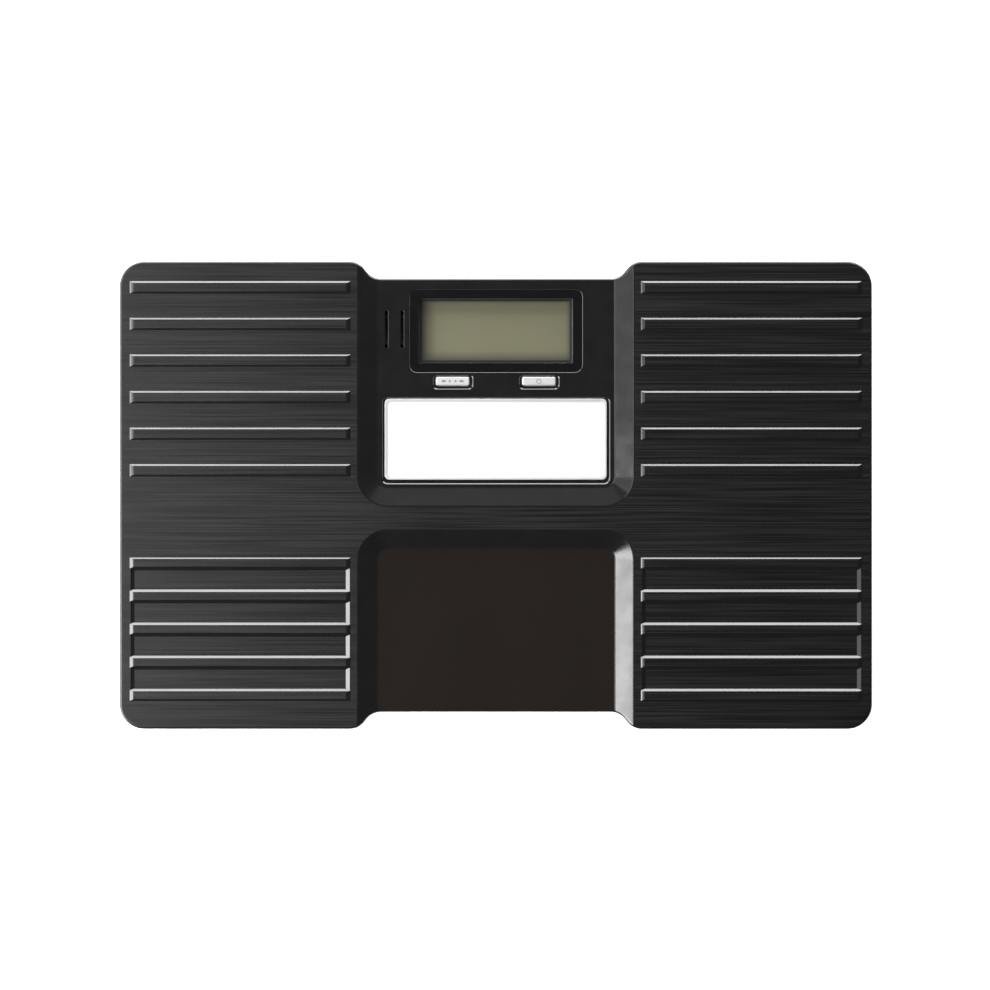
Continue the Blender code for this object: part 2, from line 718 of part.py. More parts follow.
def carrier_mesh():
    bottom = HOUSING_FLOOR_Z + GAP
    size = (CARRIER_SIDE, CARRIER_SIDE, 0.003)
    base = prism("cell_carrier", rounded_rectangle((0, 0), size), bottom, CARRIER_TOP_Z, cutters)
    pocket = rounded_rectangle((0, 0), (CARRIER_POCKET, CARRIER_POCKET, 0.003))
    pocket_cutter = prism("carrier_pocket", pocket, CARRIER_LEDGE_Z, CARRIER_TOP_Z + SINK, cutters)
    hole = cylinder("carrier_hole", (0, 0), CARRIER_HOLE_RADIUS, bottom - SINK, CARRIER_TOP_Z, cutters, 24)
    cut(base, pocket_cutter, hole)
    mesh = mesh_of(base)
    for used in (pocket_cutter, hole):
        bpy.data.objects.remove(used, do_unlink=True)
    return mesh, (bottom + CARRIER_TOP_Z) / 2


def feet_and_cells():
    foot, pad = foot_mesh(), pad_mesh()
    cell, cell_z = cell_mesh()
    carrier, carrier_z = carrier_mesh()
    looks = {
        "foot": material("foot_grey", (0.06, 0.06, 0.06), 0.5),
        "foot_pad": material("pad_rubber", (0.03, 0.03, 0.03), 0.85),
        "load_cell": material("cell_steel", (0.55, 0.56, 0.58), 0.3, 1.0),
        "cell_carrier": material("carrier_white", (0.65, 0.65, 0.62), 0.5),
    }
    pieces = (
        ("foot", foot, 0),
        ("foot_pad", pad, 0),
        ("load_cell", cell, cell_z),
        ("cell_carrier", carrier, carrier_z),
    )
    for corner, sx, sy in corners():
        for kind, mesh, z in pieces:
            made = add(f"{kind}_{corner}", mesh, parts, (sx * FOOT_X, sy * FOOT_Y, z))
            dress(made, looks[kind], smooth=kind.startswith("foot"))


# ---- Bottom housing, its screws and the steel plates ----
def bottom_housing():
    outer = (
        (HOUSING_BASE_INSET, BASE_Z),
        (HOUSING_KNEE_INSET, KNEE_Z),
        (HOUSING_INSET, HOUSING_TOP_Z),
    )
    inner = (
        (HOUSING_BASE_INSET + HOUSING_WALL, HOUSING_FLOOR_Z),
        (HOUSING_KNEE_INSET + HOUSING_WALL, KNEE_Z),
        (HOUSING_INSET + HOUSING_WALL, HOUSING_TOP_Z + SINK),
    )
    housing = lofts("bottom_housing", [[(platform_outline(i), z) for i, z in outer]], parts)
    cut(housing, lofts("housing_cavity", [[(platform_outline(i), z) for i, z in inner]], cutters))
    centre = (0, BAY_Y)
    root_z = HOUSING_FLOOR_Z - SINK
    flange = prism("bay_flange", rounded_rectangle(centre, BAY_FLANGE), root_z, BAY_FLANGE_TOP_Z, cutters)
    walls = prism("bay_walls", rounded_rectangle(centre, BAY_OUTER), root_z, BAY_TOP_Z, cutters)
    join(housing, flange, walls)
    for number, screw in enumerate(SCREWS):
        boss = cylinder(f"housing_boss_{number}", screw, BOSS_RADIUS, root_z, HOUSING_TOP_Z, cutters, 16)
        join(housing, boss)
    below = BASE_Z - SINK
    for number, screw in enumerate(SCREWS):
        hole = cylinder(f"screw_hole_{number}", screw, SCREW_HOLE_RADIUS, below, SEAM_Z, cutters, 12)
        bore = cylinder(
            f"counterbore_{number}", screw, COUNTERBORE_RADIUS, below, SCREW_SHOULDER_Z + GAP, cutters, 16
        )
        cut(housing, hole, bore)
    for corner, sx, sy in corners():
        hole_centre = (sx * FOOT_X, sy * FOOT_Y)
        cut(
            housing,
            cylinder(f"foot_hole_{corner}", hole_centre, FOOT_HOLE_RADIUS, below, KNEE_Z, cutters, 28),
        )
    rebate = rounded_rectangle(centre, DOOR, GAP)
    bay = rounded_rectangle(centre, BAY_INNER)
    cut(
        housing,
        prism("door_rebate", rebate, below, BASE_Z + DOOR_THICKNESS + GAP, cutters),
        prism("battery_bay", bay, below, BAY_CEILING_Z, cutters),
    )
    cut(housing, *door_notches())
    dress(housing, material("housing_black", (0.02, 0.02, 0.021), 0.5))


def door_notches():
    """Openings in the bay's flange for the door's two tabs, which swing up, and for its latch."""
    made = []
    hinge_y = BAY_Y - DOOR[1] / 2
    low = BASE_Z + DOOR_THICKNESS - DOOR_TAB_THICKNESS - GAP
    high = BAY_FLANGE_TOP_Z + SINK
    before, behind = DOOR_TAB_REACH + DOOR_TAB_ROOM, DOOR_TAB_SWING
    size = (DOOR_TAB_WIDTH + 2 * GAP, before + behind, high - low)
    for number, side in enumerate((-1, 1)):
        centre = (side * DOOR_TAB_X, hinge_y + (behind - before) / 2, (low + high) / 2)
        made.append(box(f"tab_notch_{number}", centre, size, cutters))
    latch_y = BAY_Y + DOOR[1] / 2 - LATCH_INSET
    size = (
        LATCH_WIDTH + 2 * LATCH_ROOM,
        LATCH_THICKNESS + LATCH_ROOM,
        high - BASE_Z - DOOR_THICKNESS,
    )
    centre = (0, latch_y + LATCH_NOTCH_SHIFT, BASE_Z + DOOR_THICKNESS + size[2] / 2)
    made.append(box("latch_notch", centre, size, cutters))
    return made


def battery_door():
    """A flat door whose tabs hook under the bay's edge; it turns about its outer lower edge."""
    hinge_y = BAY_Y - DOOR[1] / 2
    top = BASE_Z + DOOR_THICKNESS
    door = prism("battery_door", rounded_rectangle((0, BAY_Y), DOOR), BASE_Z, top, parts)
    for number, side in enumerate((-1, 1)):
        reach = DOOR_TAB_REACH
        centre = (side * DOOR_TAB_X, hinge_y - reach / 2 + SINK, top - DOOR_TAB_THICKNESS / 2)
        size = (DOOR_TAB_WIDTH, reach + 2 * SINK, DOOR_TAB_THICKNESS)
        join(door, box(f"door_tab_{number}", centre, size, cutters))
    latch_y = BAY_Y + DOOR[1] / 2 - LATCH_INSET
    latch = (LATCH_WIDTH, LATCH_THICKNESS, LATCH_HEIGHT + SINK)
    latch_z = top + LATCH_HEIGHT / 2 - SINK / 2
    join(door, box("door_latch", (0, latch_y, latch_z), latch, cutters))
    move_origin(door, (0, hinge_y, BASE_Z))
    dress(door, material("door_black", (0.025, 0.025, 0.026), 0.5))


def move_origin(made, origin):
    """Puts an object's origin at a point, and leaves its shape where it is."""
    shift = [place - new for place, new in zip(made.location, origin)]
    for vertex in made.data.vertices:
        for axis in range(3):
            vertex.co[axis] += shift[axis]
    made.location = origin


def screws():
    profile = [
        (0, SCREW_TIP_Z),
        (SCREW_RADIUS * 0.4, SCREW_TIP_Z),
        (SCREW_RADIUS, SCREW_TIP_Z - 0.002),
        (SCREW_RADIUS, SCREW_SHOULDER_Z),
        (SCREW_HEAD_RADIUS, SCREW_SHOULDER_Z),
        (SCREW_HEAD_RADIUS, SCREW_HEAD_Z + 0.0009),
        (SCREW_HEAD_RADIUS * 0.72, SCREW_HEAD_Z),
        (0, SCREW_HEAD_Z),
    ]
    blank = turned("screw", profile, cutters, 18)
    arm, half = CROSS_ARM, CROSS_HALF_WIDTH
    ways = [(half, half), (half, arm), (-half, arm), (-half, half), (-arm, half), (-arm, -half)]
    ways += [(-half, -half), (-half, -arm), (half, -arm), (half, -half), (arm, -half), (arm, half)]
    rings = [(ways, SCREW_HEAD_Z - SINK), (ways, SCREW_HEAD_Z + CROSS_DEPTH)]
    cross = lofts("cross_drive", [rings], cutters)
    cut(blank, cross)
    mesh = mesh_of(blank)
    bpy.data.objects.remove(cross, do_unlink=True)
    steel = material("screw_steel", (0.35, 0.35, 0.36), 0.35, 1.0)
    for number, (x, y) in enumerate(SCREWS, 1):
        dress(add(f"housing_screw_{number}", mesh, parts, (x, y, 0)), steel, smooth=True)


def stiffeners():
    top = PLATEAU_Z - WALL - GAP
    width = STIFFENER_X[1] - STIFFENER_X[0]
    middle = sum(STIFFENER_X) / 2
    steel = material("plate_steel", (0.5, 0.51, 0.52), 0.4, 1.0)
    for name, side in (("left", -1), ("right", 1)):
        outline = rounded_rectangle((side * middle, 0), (width, STIFFENER_DEPTH, 0.006))
        near = [(x, y) for x, y in SCREWS if x * side > 0]
        holes = [arc(centre, COVER_BOSS_RADIUS + 0.0008, 0, 330, 11) for centre in near]
        plate = prism(f"stiffener_{name}", outline, top - STIFFENER_THICKNESS, top, parts, holes)
        dress(plate, steel)


# ---- Batteries and their contacts ----
def battery_rows():
    """Each cell's y and which way its nub points."""
    first = BAY_Y - (BATTERIES - 1) * BATTERY_PITCH / 2
    return [(first + i * BATTERY_PITCH, 1 if i % 2 else -1) for i in range(BATTERIES)]


def batteries():
    body = BATTERY_LENGTH - NUB_LENGTH
    profile = [
        (0, BATTERY_LENGTH),
        (NUB_RADIUS, BATTERY_LENGTH),
        (NUB_RADIUS, body),
        (BATTERY_RADIUS - 0.0006, body),
        (BATTERY_RADIUS, body - 0.0006),
        (BATTERY_RADIUS, 0.0006),
        (BATTERY_RADIUS - 0.0006, 0),
        (0, 0),
    ]
    mesh = mesh_of(turned("battery", profile, cutters, 24))
    look = material("battery_jacket", (0.10, 0.22, 0.12), 0.3, 0.6)
    plate_x = BAY_INNER[0] / 2 - GAP - TERMINAL_THICKNESS
    for number, (y, nub) in enumerate(battery_rows(), 1):
        made = add(f"battery_{number}", mesh, parts, (nub * (plate_x - GAP - BATTERY_LENGTH), y, BATTERY_Z))
        made.rotation_euler = (0, nub * math.pi / 2, 0)
        dress(made, look, smooth=True)


def battery_contacts():
    metal = material("contact_nickel", (0.7, 0.7, 0.68), 0.3, 1.0)
    plate_x = BAY_INNER[0] / 2 - GAP - TERMINAL_THICKNESS
    for name, side in (("left", -1), ("right", 1)):
        centre = (side * (plate_x + TERMINAL_THICKNESS / 2), BAY_Y, BATTERY_Z)
        size = (TERMINAL_THICKNESS, TERMINAL_DEPTH, TERMINAL_HEIGHT)
        dress(box(f"battery_terminal_{name}", centre, size, parts), metal)
    wide, narrow = SPRING_RADII
    span = 2 * plate_x - BATTERY_LENGTH - 3 * GAP - 2 * SPRING_WIRE
    turn_steps = 9
    count = SPRING_TURNS * turn_steps
    for number, (y, nub) in enumerate(battery_rows(), 1):
        start_x = -nub * (plate_x - GAP - SPRING_WIRE)
        points = []
        for i in range(count + 1):
            share = i / count
            radius = wide + share * (narrow - wide)
            angle = 2 * math.pi * i / turn_steps
            points.append(
                (
                    start_x + nub * share * span,
                    y + radius * math.cos(angle),
                    BATTERY_Z + radius * math.sin(angle),
                )
            )
        dress(tube(f"battery_spring_{number}", points, SPRING_WIRE, parts, 1), metal)


# ---- Leads inside the housing ----
def leads():
    floor_z = HOUSING_FLOOR_Z + GAP + LEAD_RADIUS + 0.0009
    board_z = PCB_TOP_Z - PCB_THICKNESS - GAP - LEAD_RADIUS - 0.0003
    sheath = material("lead_sheath", (0.55, 0.55, 0.55), 0.5)
    for corner, sx, sy in corners():
        start = [
            (sx * (FOOT_X - 0.004), sy * (FOOT_Y - 0.004), 0.0158),
            (sx * (FOOT_X - 0.013), sy * (FOOT_Y - 0.010), 0.0180),
            (sx * (FOOT_X - 0.023), sy * (FOOT_Y - 0.015), 0.0184),
            (sx * (FOOT_X - 0.036), sy * (FOOT_Y - 0.022), floor_z),
        ]
        if sy > 0:
            end = [(sx * 0.150, 0.098, floor_z), (sx * 0.095, 0.094, floor_z), (sx * 0.066, 0.095, 0.0135)]
            end.append((sx * 0.050, 0.098, board_z))
        else:
            end = [(sx * 0.150, -0.060, floor_z), (sx * 0.095, -0.020, floor_z), (sx * 0.050, 0.030, floor_z)]
            end += [(sx * 0.036, 0.055, 0.0130), (sx * 0.028, 0.074, board_z)]
        dress(tube(f"cell_lead_{corner}", through(start + end, 3), LEAD_RADIUS, parts, 1), sheath)
    battery = [
        (0.020, BAY_Y + BAY_OUTER[1] / 2 + GAP + 0.0016, 0.0170),
        (0.020, BAY_Y + 0.043, 0.0140),
        (0.019, BAY_Y + 0.058, floor_z),
        (0.014, 0.020, floor_z),
        (0.011, 0.052, 0.0130),
        (0.008, 0.074, board_z),
    ]
    dress(tube("battery_lead", through(battery, 4), LEAD_RADIUS, parts, 1), sheath)
    thin_z = SPEAKER_BOTTOM_Z - GAP - THIN_LEAD_RADIUS - 0.0001
    wire = [
        (SPEAKER_X, SPEAKER_Y - 0.003, thin_z),
        (SPEAKER_X + 0.008, SPEAKER_Y - 0.008, thin_z - 0.0008),
        (SPEAKER_X + 0.016, SPEAKER_Y - 0.012, thin_z - 0.0004),
        (SPEAKER_X + 0.024, SPEAKER_Y - 0.014, thin_z + 0.0006),
    ]
    dress(tube("speaker_lead", through(wire, 3), THIN_LEAD_RADIUS, parts, 1), sheath)


top_cover()
name_plate()
display_stack()
main_pcb()
buttons()
speaker()
feet_and_cells()
bottom_housing()
battery_door()
screws()
stiffeners()
batteries()
battery_contacts()
leads()
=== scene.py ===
"""The looks of the digital bathroom scale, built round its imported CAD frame.

The two big mouldings are height fields: a flat pattern of outlines is triangulated once, and
the outer and the inner surface are both worked out on it. Their shape is in millimetres.
"""

import math
import re

import bmesh
import bpy
import numpy as np
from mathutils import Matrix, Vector
from mathutils.geometry import delaunay_2d_cdt


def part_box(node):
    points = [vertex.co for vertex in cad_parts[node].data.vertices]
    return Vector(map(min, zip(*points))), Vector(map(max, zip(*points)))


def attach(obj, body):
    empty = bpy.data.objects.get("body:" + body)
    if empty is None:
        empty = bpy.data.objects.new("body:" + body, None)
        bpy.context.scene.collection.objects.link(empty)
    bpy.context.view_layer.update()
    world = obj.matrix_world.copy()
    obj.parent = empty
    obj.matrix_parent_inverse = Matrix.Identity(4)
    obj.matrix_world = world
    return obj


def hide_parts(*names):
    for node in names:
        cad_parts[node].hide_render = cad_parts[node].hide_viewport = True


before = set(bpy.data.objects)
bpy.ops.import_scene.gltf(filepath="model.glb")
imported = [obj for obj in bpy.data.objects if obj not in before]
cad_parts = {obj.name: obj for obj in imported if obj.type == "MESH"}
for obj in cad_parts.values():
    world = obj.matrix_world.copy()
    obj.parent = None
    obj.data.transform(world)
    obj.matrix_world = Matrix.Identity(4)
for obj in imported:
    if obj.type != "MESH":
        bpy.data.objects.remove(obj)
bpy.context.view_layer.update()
MM = 0.001


def node_box(name):
    """A CAD node's lowest and highest corner, in millimetres."""
    low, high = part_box(name)
    return low / MM, high / MM


def node_rectangle(name, grow=0.0):
    """Centre x, centre y, width and depth of a CAD node, in millimetres."""
    low, high = node_box(name)
    return (low.x + high.x) / 2, (low.y + high.y) / 2, high.x - low.x + 2 * grow, high.y - low.y + 2 * grow


# ---- Sizes, from the frame where it has them ----
cover_low, cover_high = node_box("top_cover")
housing_low, housing_high = node_box("bottom_housing")

HALF_WIDTH, HALF_DEPTH = cover_high.x, cover_high.y
WAIST_HALF_DEPTH = 161.5
WAIST_START, WAIST_END = 85.5, 108.5
CORNER_RADIUS = 18.5

RIB_HEIGHT = 1.2
SEAM_Z = cover_low.z
PLATEAU_Z = cover_high.z - RIB_HEIGHT
RIM_DRAFT, RIM_RADIUS = 0.12, 1.8
COVER_WALL = 2.4
FLOOR_WALL = 2.7

RECESS_DEPTH = 5.0
FLOOR_Z = PLATEAU_Z - RECESS_DEPTH
RECESS_HALF_WIDTH, SLOPE_RUN = 88.3, 14.2
RECESS_RADIUS, RECESS_TOP_RADIUS = 8.0, 22.0
# closed end at the floor, plan length of the end slope, and the side (+1 or -1) it opens to
UPPER_RECESS = (5.8, 13.8, 1)
LOWER_RECESS = (-38.9, 13.0, -1)
FOOT_FILLET, BROW_FILLET = 0.07, 0.05  # shares of the slope that are rounded

RIB_INNER_X, RIB_OUTER_X, RIB_END_RUN = 108.0, 272.2, 3.9
UPPER_RIBS = [18.5 + 27.22 * i for i in range(6)]
UPPER_RIB_TOP, UPPER_RIB_RUN = 6.6, 1.3
LOWER_RIBS = [-148.9 + 24.62 * i for i in range(5)]
LOWER_RIB_TOP, LOWER_RIB_RUN, LOWER_RIB_HEIGHT = 5.7, 1.2, 0.9
GROOVE_DEPTH, GROOVE_END_INSET, GROOVE_END_RUN = 0.9, 0.6, 2.9
DISH_DEPTH = 0.6  # the name plate's sunk face
PLATE_RIM, DISH_RUN, DISH_STEPS = 0.5, 3.4, 8
RIB_ROUND = 0.3  # share of a rib's slope that is rounded into its top

SCREWS = [node_rectangle(f"housing_screw_{i}")[:2] for i in range(1, 7)]
FEET = {c: node_rectangle(f"foot_{c}")[:2] for c in ("front_left", "front_right", "rear_left", "rear_right")}
BAY_CENTRE = node_rectangle("battery_terminal_left")[1]


# ---- Plan shapes ----
def arc(cx, cy, radius, start, end, steps):
    angles = [math.radians(start + (end - start) * i / steps) for i in range(steps + 1)]
    return [(cx + radius * math.cos(a), cy + radius * math.sin(a)) for a in angles]


def rounded_rectangle(cx, cy, width, depth, radius, steps=6):
    points = []
    for quarter, (sx, sy) in enumerate(((1, 1), (-1, 1), (-1, -1), (1, -1))):
        corner = (cx + sx * (width / 2 - radius), cy + sy * (depth / 2 - radius))
        points += arc(*corner, radius, 90 * quarter, 90 * quarter + 90, steps)
    return points


def depth_inside(x, y, cx, cy, width, depth, radius):
    """How far a point is inside a rounded rectangle; less than 0 outside it."""
    dx = abs(x - cx) - width / 2 + radius
    dy = abs(y - cy) - depth / 2 + radius
    outside = math.hypot(max(dx, 0), max(dy, 0))
    return radius - outside - min(max(dx, dy), 0)


class Outline:
    """The platform's edge, moved inwards by any inset, as a formula and as rings of points."""

    def __init__(self, marks):
        run = WAIST_END - WAIST_START
        rise = HALF_DEPTH - WAIST_HALF_DEPTH
        self.radius = (run**2 + rise**2) / (4 * rise)
        self.hollow = (WAIST_START, WAIST_HALF_DEPTH + self.radius)
        self.crown = (WAIST_END, HALF_DEPTH - self.radius)
        span = math.hypot(self.crown[0] - self.hollow[0], self.crown[1] - self.hollow[1])
        self.line = ((self.crown[0] - self.hollow[0]) / span, (self.crown[1] - self.hollow[1]) / span)
        self.marks = marks  # x values that every ring has a point at

    def edge_y(self, x, inset):
        """The edge's y at x in the first quadrant, between the waist and the side block."""
        if x <= WAIST_START:
            return WAIST_HALF_DEPTH - inset
        if x >= WAIST_END:
            return HALF_DEPTH - inset
        turn_x = self.hollow[0] + self.line[0] * (self.radius + inset)
        if x <= turn_x:
            return self.hollow[1] - math.sqrt((self.radius + inset) ** 2 - (x - self.hollow[0]) ** 2)
        return self.crown[1] + math.sqrt((self.radius - inset) ** 2 - (x - self.crown[0]) ** 2)

    def inset(self, x, y):
        """How far a point is inside the edge."""
        x, y = abs(x), abs(y)
        corner_x, corner_y = HALF_WIDTH - CORNER_RADIUS, HALF_DEPTH - CORNER_RADIUS
        if x > corner_x and y > corner_y:
            return CORNER_RADIUS - math.hypot(x - corner_x, y - corner_y)
        if x <= WAIST_START:
            end = WAIST_HALF_DEPTH - y
        elif x >= WAIST_END:
            end = HALF_DEPTH - y
        else:
            px, py = x - self.hollow[0], y - self.hollow[1]
            if self.line[0] * py - self.line[1] * px < 0:
                end = math.hypot(px, py) - self.radius
            else:
                end = self.radius - math.hypot(x - self.crown[0], y - self.crown[1])
                if y < self.crown[1]:
                    end = HALF_DEPTH - y
        return min(end, HALF_WIDTH - x)

    def ring(self, inset):
        turn_x = self.hollow[0] + self.line[0] * (self.radius + inset)
        between = [WAIST_START + (turn_x - WAIST_START) * i / 7 for i in range(8)]
        between += [turn_x + (WAIST_END - turn_x) * i / 7 for i in range(1, 8)]
        xs = sorted(set(between) | set(self.marks))
        quarter = [(x, self.edge_y(x, inset)) for x in xs]
        corner = (HALF_WIDTH - CORNER_RADIUS, HALF_DEPTH - CORNER_RADIUS)
        quarter += arc(*corner, CORNER_RADIUS - inset, 90, 0, 14)
        right = quarter + [(x, -y) for x, y in reversed(quarter)]
        return right + [(-x, y) for x, y in reversed(right)]


def recess_share(x, y, closed_end, end_run, opens):
    """0 or less on a recess's floor, 1 at the top of its slopes, more than 1 outside it."""
    x = abs(x)
    beyond = opens * (closed_end - y)
    by_side = (x - RECESS_HALF_WIDTH) / SLOPE_RUN
    by_end = beyond / end_run
    grow = RECESS_TOP_RADIUS - RECESS_RADIUS
    # the corner's centre and radius all move in a straight line with the share
    centre_x, move_x = RECESS_HALF_WIDTH - RECESS_RADIUS, SLOPE_RUN - grow
    centre_y, move_y = -RECESS_RADIUS, end_run - grow
    share = max(by_side, by_end)
    if x > centre_x + move_x * share and beyond > centre_y + move_y * share:
        dx, dy = x - centre_x, beyond - centre_y
        a = move_x**2 + move_y**2 - grow**2
        b = -2 * (dx * move_x + dy * move_y + RECESS_RADIUS * grow)
        c = dx**2 + dy**2 - RECESS_RADIUS**2
        roots = [(-b + sign * math.sqrt(max(b * b - 4 * a * c, 0))) / (2 * a) for sign in (-1, 1)]
        valid = [root for root in roots if RECESS_RADIUS + grow * root >= 0]
        share = min(valid, key=lambda root: abs(root - share))
    return share


def recess_loop(share, closed_end, end_run, opens):
    """The line of one share, open at the end where the recess leaves the platform."""
    half = RECESS_HALF_WIDTH + SLOPE_RUN * share
    radius = RECESS_RADIUS + (RECESS_TOP_RADIUS - RECESS_RADIUS) * share
    end = end_run * share
    points = [(half, -HALF_DEPTH)] + arc(half - radius, end - radius, radius, 0, 90, 10)
    points += [(-x, y) for x, y in reversed(points)]
    ends = [opens * HALF_DEPTH if abs(y) >= HALF_DEPTH else closed_end - opens * y for _, y in points]
    return [(x, end) for (x, _), end in zip(points, ends)]


def rounded_top(share, fillet):
    """A slope's height up to 1: straight, then rounded into its top."""
    if share <= 1 - fillet:
        return share
    if share < 1 + fillet:
        return 1 - (1 + fillet - share) ** 2 / (4 * fillet)
    return 1.0


def rounded_slope(share):
    """A recess slope's height from 0 to 1, with its foot and its brow rounded."""
    if share <= -FOOT_FILLET:
        return 0.0
    if share < FOOT_FILLET:
        return (share + FOOT_FILLET) ** 2 / (4 * FOOT_FILLET)
    return rounded_top(share, BROW_FILLET)


def rounded_step(share):
    """A rib's height from 0 to 1: sharp at its foot, rounded at its top."""
    return rounded_top(max(share, 0.0), RIB_ROUND)


def along_pocket(inside, profile):
    """A depth or height at a distance inside an edge, from (distance, value) points."""
    return float(np.interp(inside, [p[0] for p in profile], [p[1] for p in profile]))


FILLET_STEPS = (-1, -0.5, 0, 0.5, 1)
SLOPE_SHARES = [FOOT_FILLET * k for k in FILLET_STEPS] + [1 + BROW_FILLET * k for k in FILLET_STEPS]
outline = Outline([RECESS_HALF_WIDTH + SLOPE_RUN * share for share in SLOPE_SHARES])


# ---- Ribs and grooves ----
# A bar is its y, top width, side run, inner and outer x, end run and height.
GROOVE_PITCH = LOWER_RIBS[1] - LOWER_RIBS[0]
GROOVE_FLOOR = GROOVE_PITCH - LOWER_RIB_TOP - 4 * LOWER_RIB_RUN
RIB_SPAN = (RIB_INNER_X, RIB_OUTER_X, RIB_END_RUN)
GROOVE_SPAN = (RIB_INNER_X + GROOVE_END_INSET, RIB_OUTER_X - GROOVE_END_INSET, GROOVE_END_RUN)
BARS = [(y, UPPER_RIB_TOP, UPPER_RIB_RUN, *RIB_SPAN, RIB_HEIGHT) for y in UPPER_RIBS]
BARS += [(y, LOWER_RIB_TOP, LOWER_RIB_RUN, *RIB_SPAN, LOWER_RIB_HEIGHT) for y in LOWER_RIBS]
BARS += [
    (y + GROOVE_PITCH / 2, GROOVE_FLOOR, LOWER_RIB_RUN, *GROOVE_SPAN, -GROOVE_DEPTH)
    for y in LOWER_RIBS[:-1]
]
BAR_SHARES = [0, 0.25, 0.5] + [1 + RIB_ROUND * k for k in FILLET_STEPS]


def bar_loops(cy, top_width, run, inner_x, outer_x, end_run, height):
    """The level lines of one bar on the right block, with its mitres. A rib's ends are convex."""
    rectangles = []
    for share in BAR_SHARES:
        half = top_width / 2 + run * (1 - share)
        rise = rounded_step(share)
        end = end_run * (1 - math.sqrt(1 - rise) if height > 0 else rise)
        x0, x1 = inner_x + end, outer_x - end
        rectangles.append([(x0, cy - half), (x1, cy - half), (x1, cy + half), (x0, cy + half)])
    mitres = [[rectangle[corner] for rectangle in rectangles] for corner in range(4)]
    return rectangles, mitres


def bar_height(x, y):
    """A bar's height at a place, and how far up its slope that place is, from 0 to 1."""
    x = abs(x)
    for cy, top, run, inner_x, outer_x, end_run, height in BARS:
        along = min(x - inner_x, outer_x - x) / end_run
        across = (top / 2 + run - abs(y - cy)) / run
        if min(along, across) > 0:
            end = 1 - (1 - min(along, 1)) ** 2 if height > 0 else min(along, 1)
            rise = min(end, rounded_step(across))
            return height * rise, rise
    return 0.0, 0.0


# ---- Pockets and holes of the top cover ----
LENS = (*node_rectangle("display_lens", 0.55), 6.2)
PLATE_GAP = 2.6
plate_x, plate_y, plate_width, plate_depth = node_rectangle("name_plate", PLATE_GAP)
PLATE = (plate_x, plate_y - 0.9, plate_width, plate_depth, 4.5)
WINDOW = (LENS[0], LENS[1], 118.0, 53.0, 3.0)
BUTTON_POCKETS = []
BUTTON_HOLES = []
BUTTON_CAP = (24.8, 6.2)
for key in ("mode_button", "on_button"):
    key_x, key_y = node_rectangle(key)[:2]
    BUTTON_POCKETS.append((key_x, key_y - 0.7, 30.8, 11.0, 3.0))
    BUTTON_HOLES.append((key_x, key_y, BUTTON_CAP[0] + 1.5, BUTTON_CAP[1] + 1.5, 2.4))
SPEAKER = node_rectangle("speaker")
SLOTS = [(SPEAKER[0] + side * 5.85, SPEAKER[1], 2.0, 27.6, 0.95) for side in (-1, 1)]
SLOT_CHAMFERS = [(cx, cy, width + 0.9, depth + 0.9, 1.4) for cx, cy, width, depth, _ in SLOTS]

LENS_PROFILE = [(0, 0), (0.12, 0.03), (0.62, 0.44), (0.67, 1.7)]
PLATE_PROFILE = [(0, 0), (0.2, 0.07), (1.2, 0.85), (1.3, 1.2)]
BUTTON_PROFILE = [(0, 0), (0.2, 0.1), (1.3, 0.8), (1.4, 1.5)]
SLOT_PROFILE = [(0, 0), (0.15, 0.08), (0.45, 0.45)]
POCKETS = [(LENS, LENS_PROFILE), (PLATE, PLATE_PROFILE)]
POCKETS += [(pocket, BUTTON_PROFILE) for pocket in BUTTON_POCKETS]
POCKETS += [(chamfer, SLOT_PROFILE) for chamfer in SLOT_CHAMFERS]
COVER_HOLES = [WINDOW, *BUTTON_HOLES, *SLOTS]


def shrunk(shape, inset):
    cx, cy, width, depth, radius = shape
    return cx, cy, width - 2 * inset, depth - 2 * inset, max(radius - inset, 0.25)


def pocket_loops(pockets):
    return [
        rounded_rectangle(*shrunk(shape, distance))
        for shape, profile in pockets
        for distance, _ in profile
    ]


def circle(cx, cy, radius, steps=24):
    return arc(cx, cy, radius, 0, 360 - 360 / steps, steps - 1)


# ---- The mouldings' meshes ----
MOULDING_SHARP_ANGLE, SMALL_SHARP_ANGLE, SOFT_EDGE_ANGLE = 16, 32, 40  # degrees


def placed(name, data):
    """A new object in the scene."""
    made = bpy.data.objects.new(name, data)
    bpy.context.scene.collection.objects.link(made)
    return made


def shaded(made, sharp_angle):
    """Smooth shading, with its normals weighed by the size of the faces."""
    made.data.shade_smooth()
    made.data.set_sharp_from_angle(angle=math.radians(sharp_angle))
    weighted = made.modifiers.new("weighted_normals", "WEIGHTED_NORMAL")
    weighted.keep_sharp = True
    weighted.weight = 90


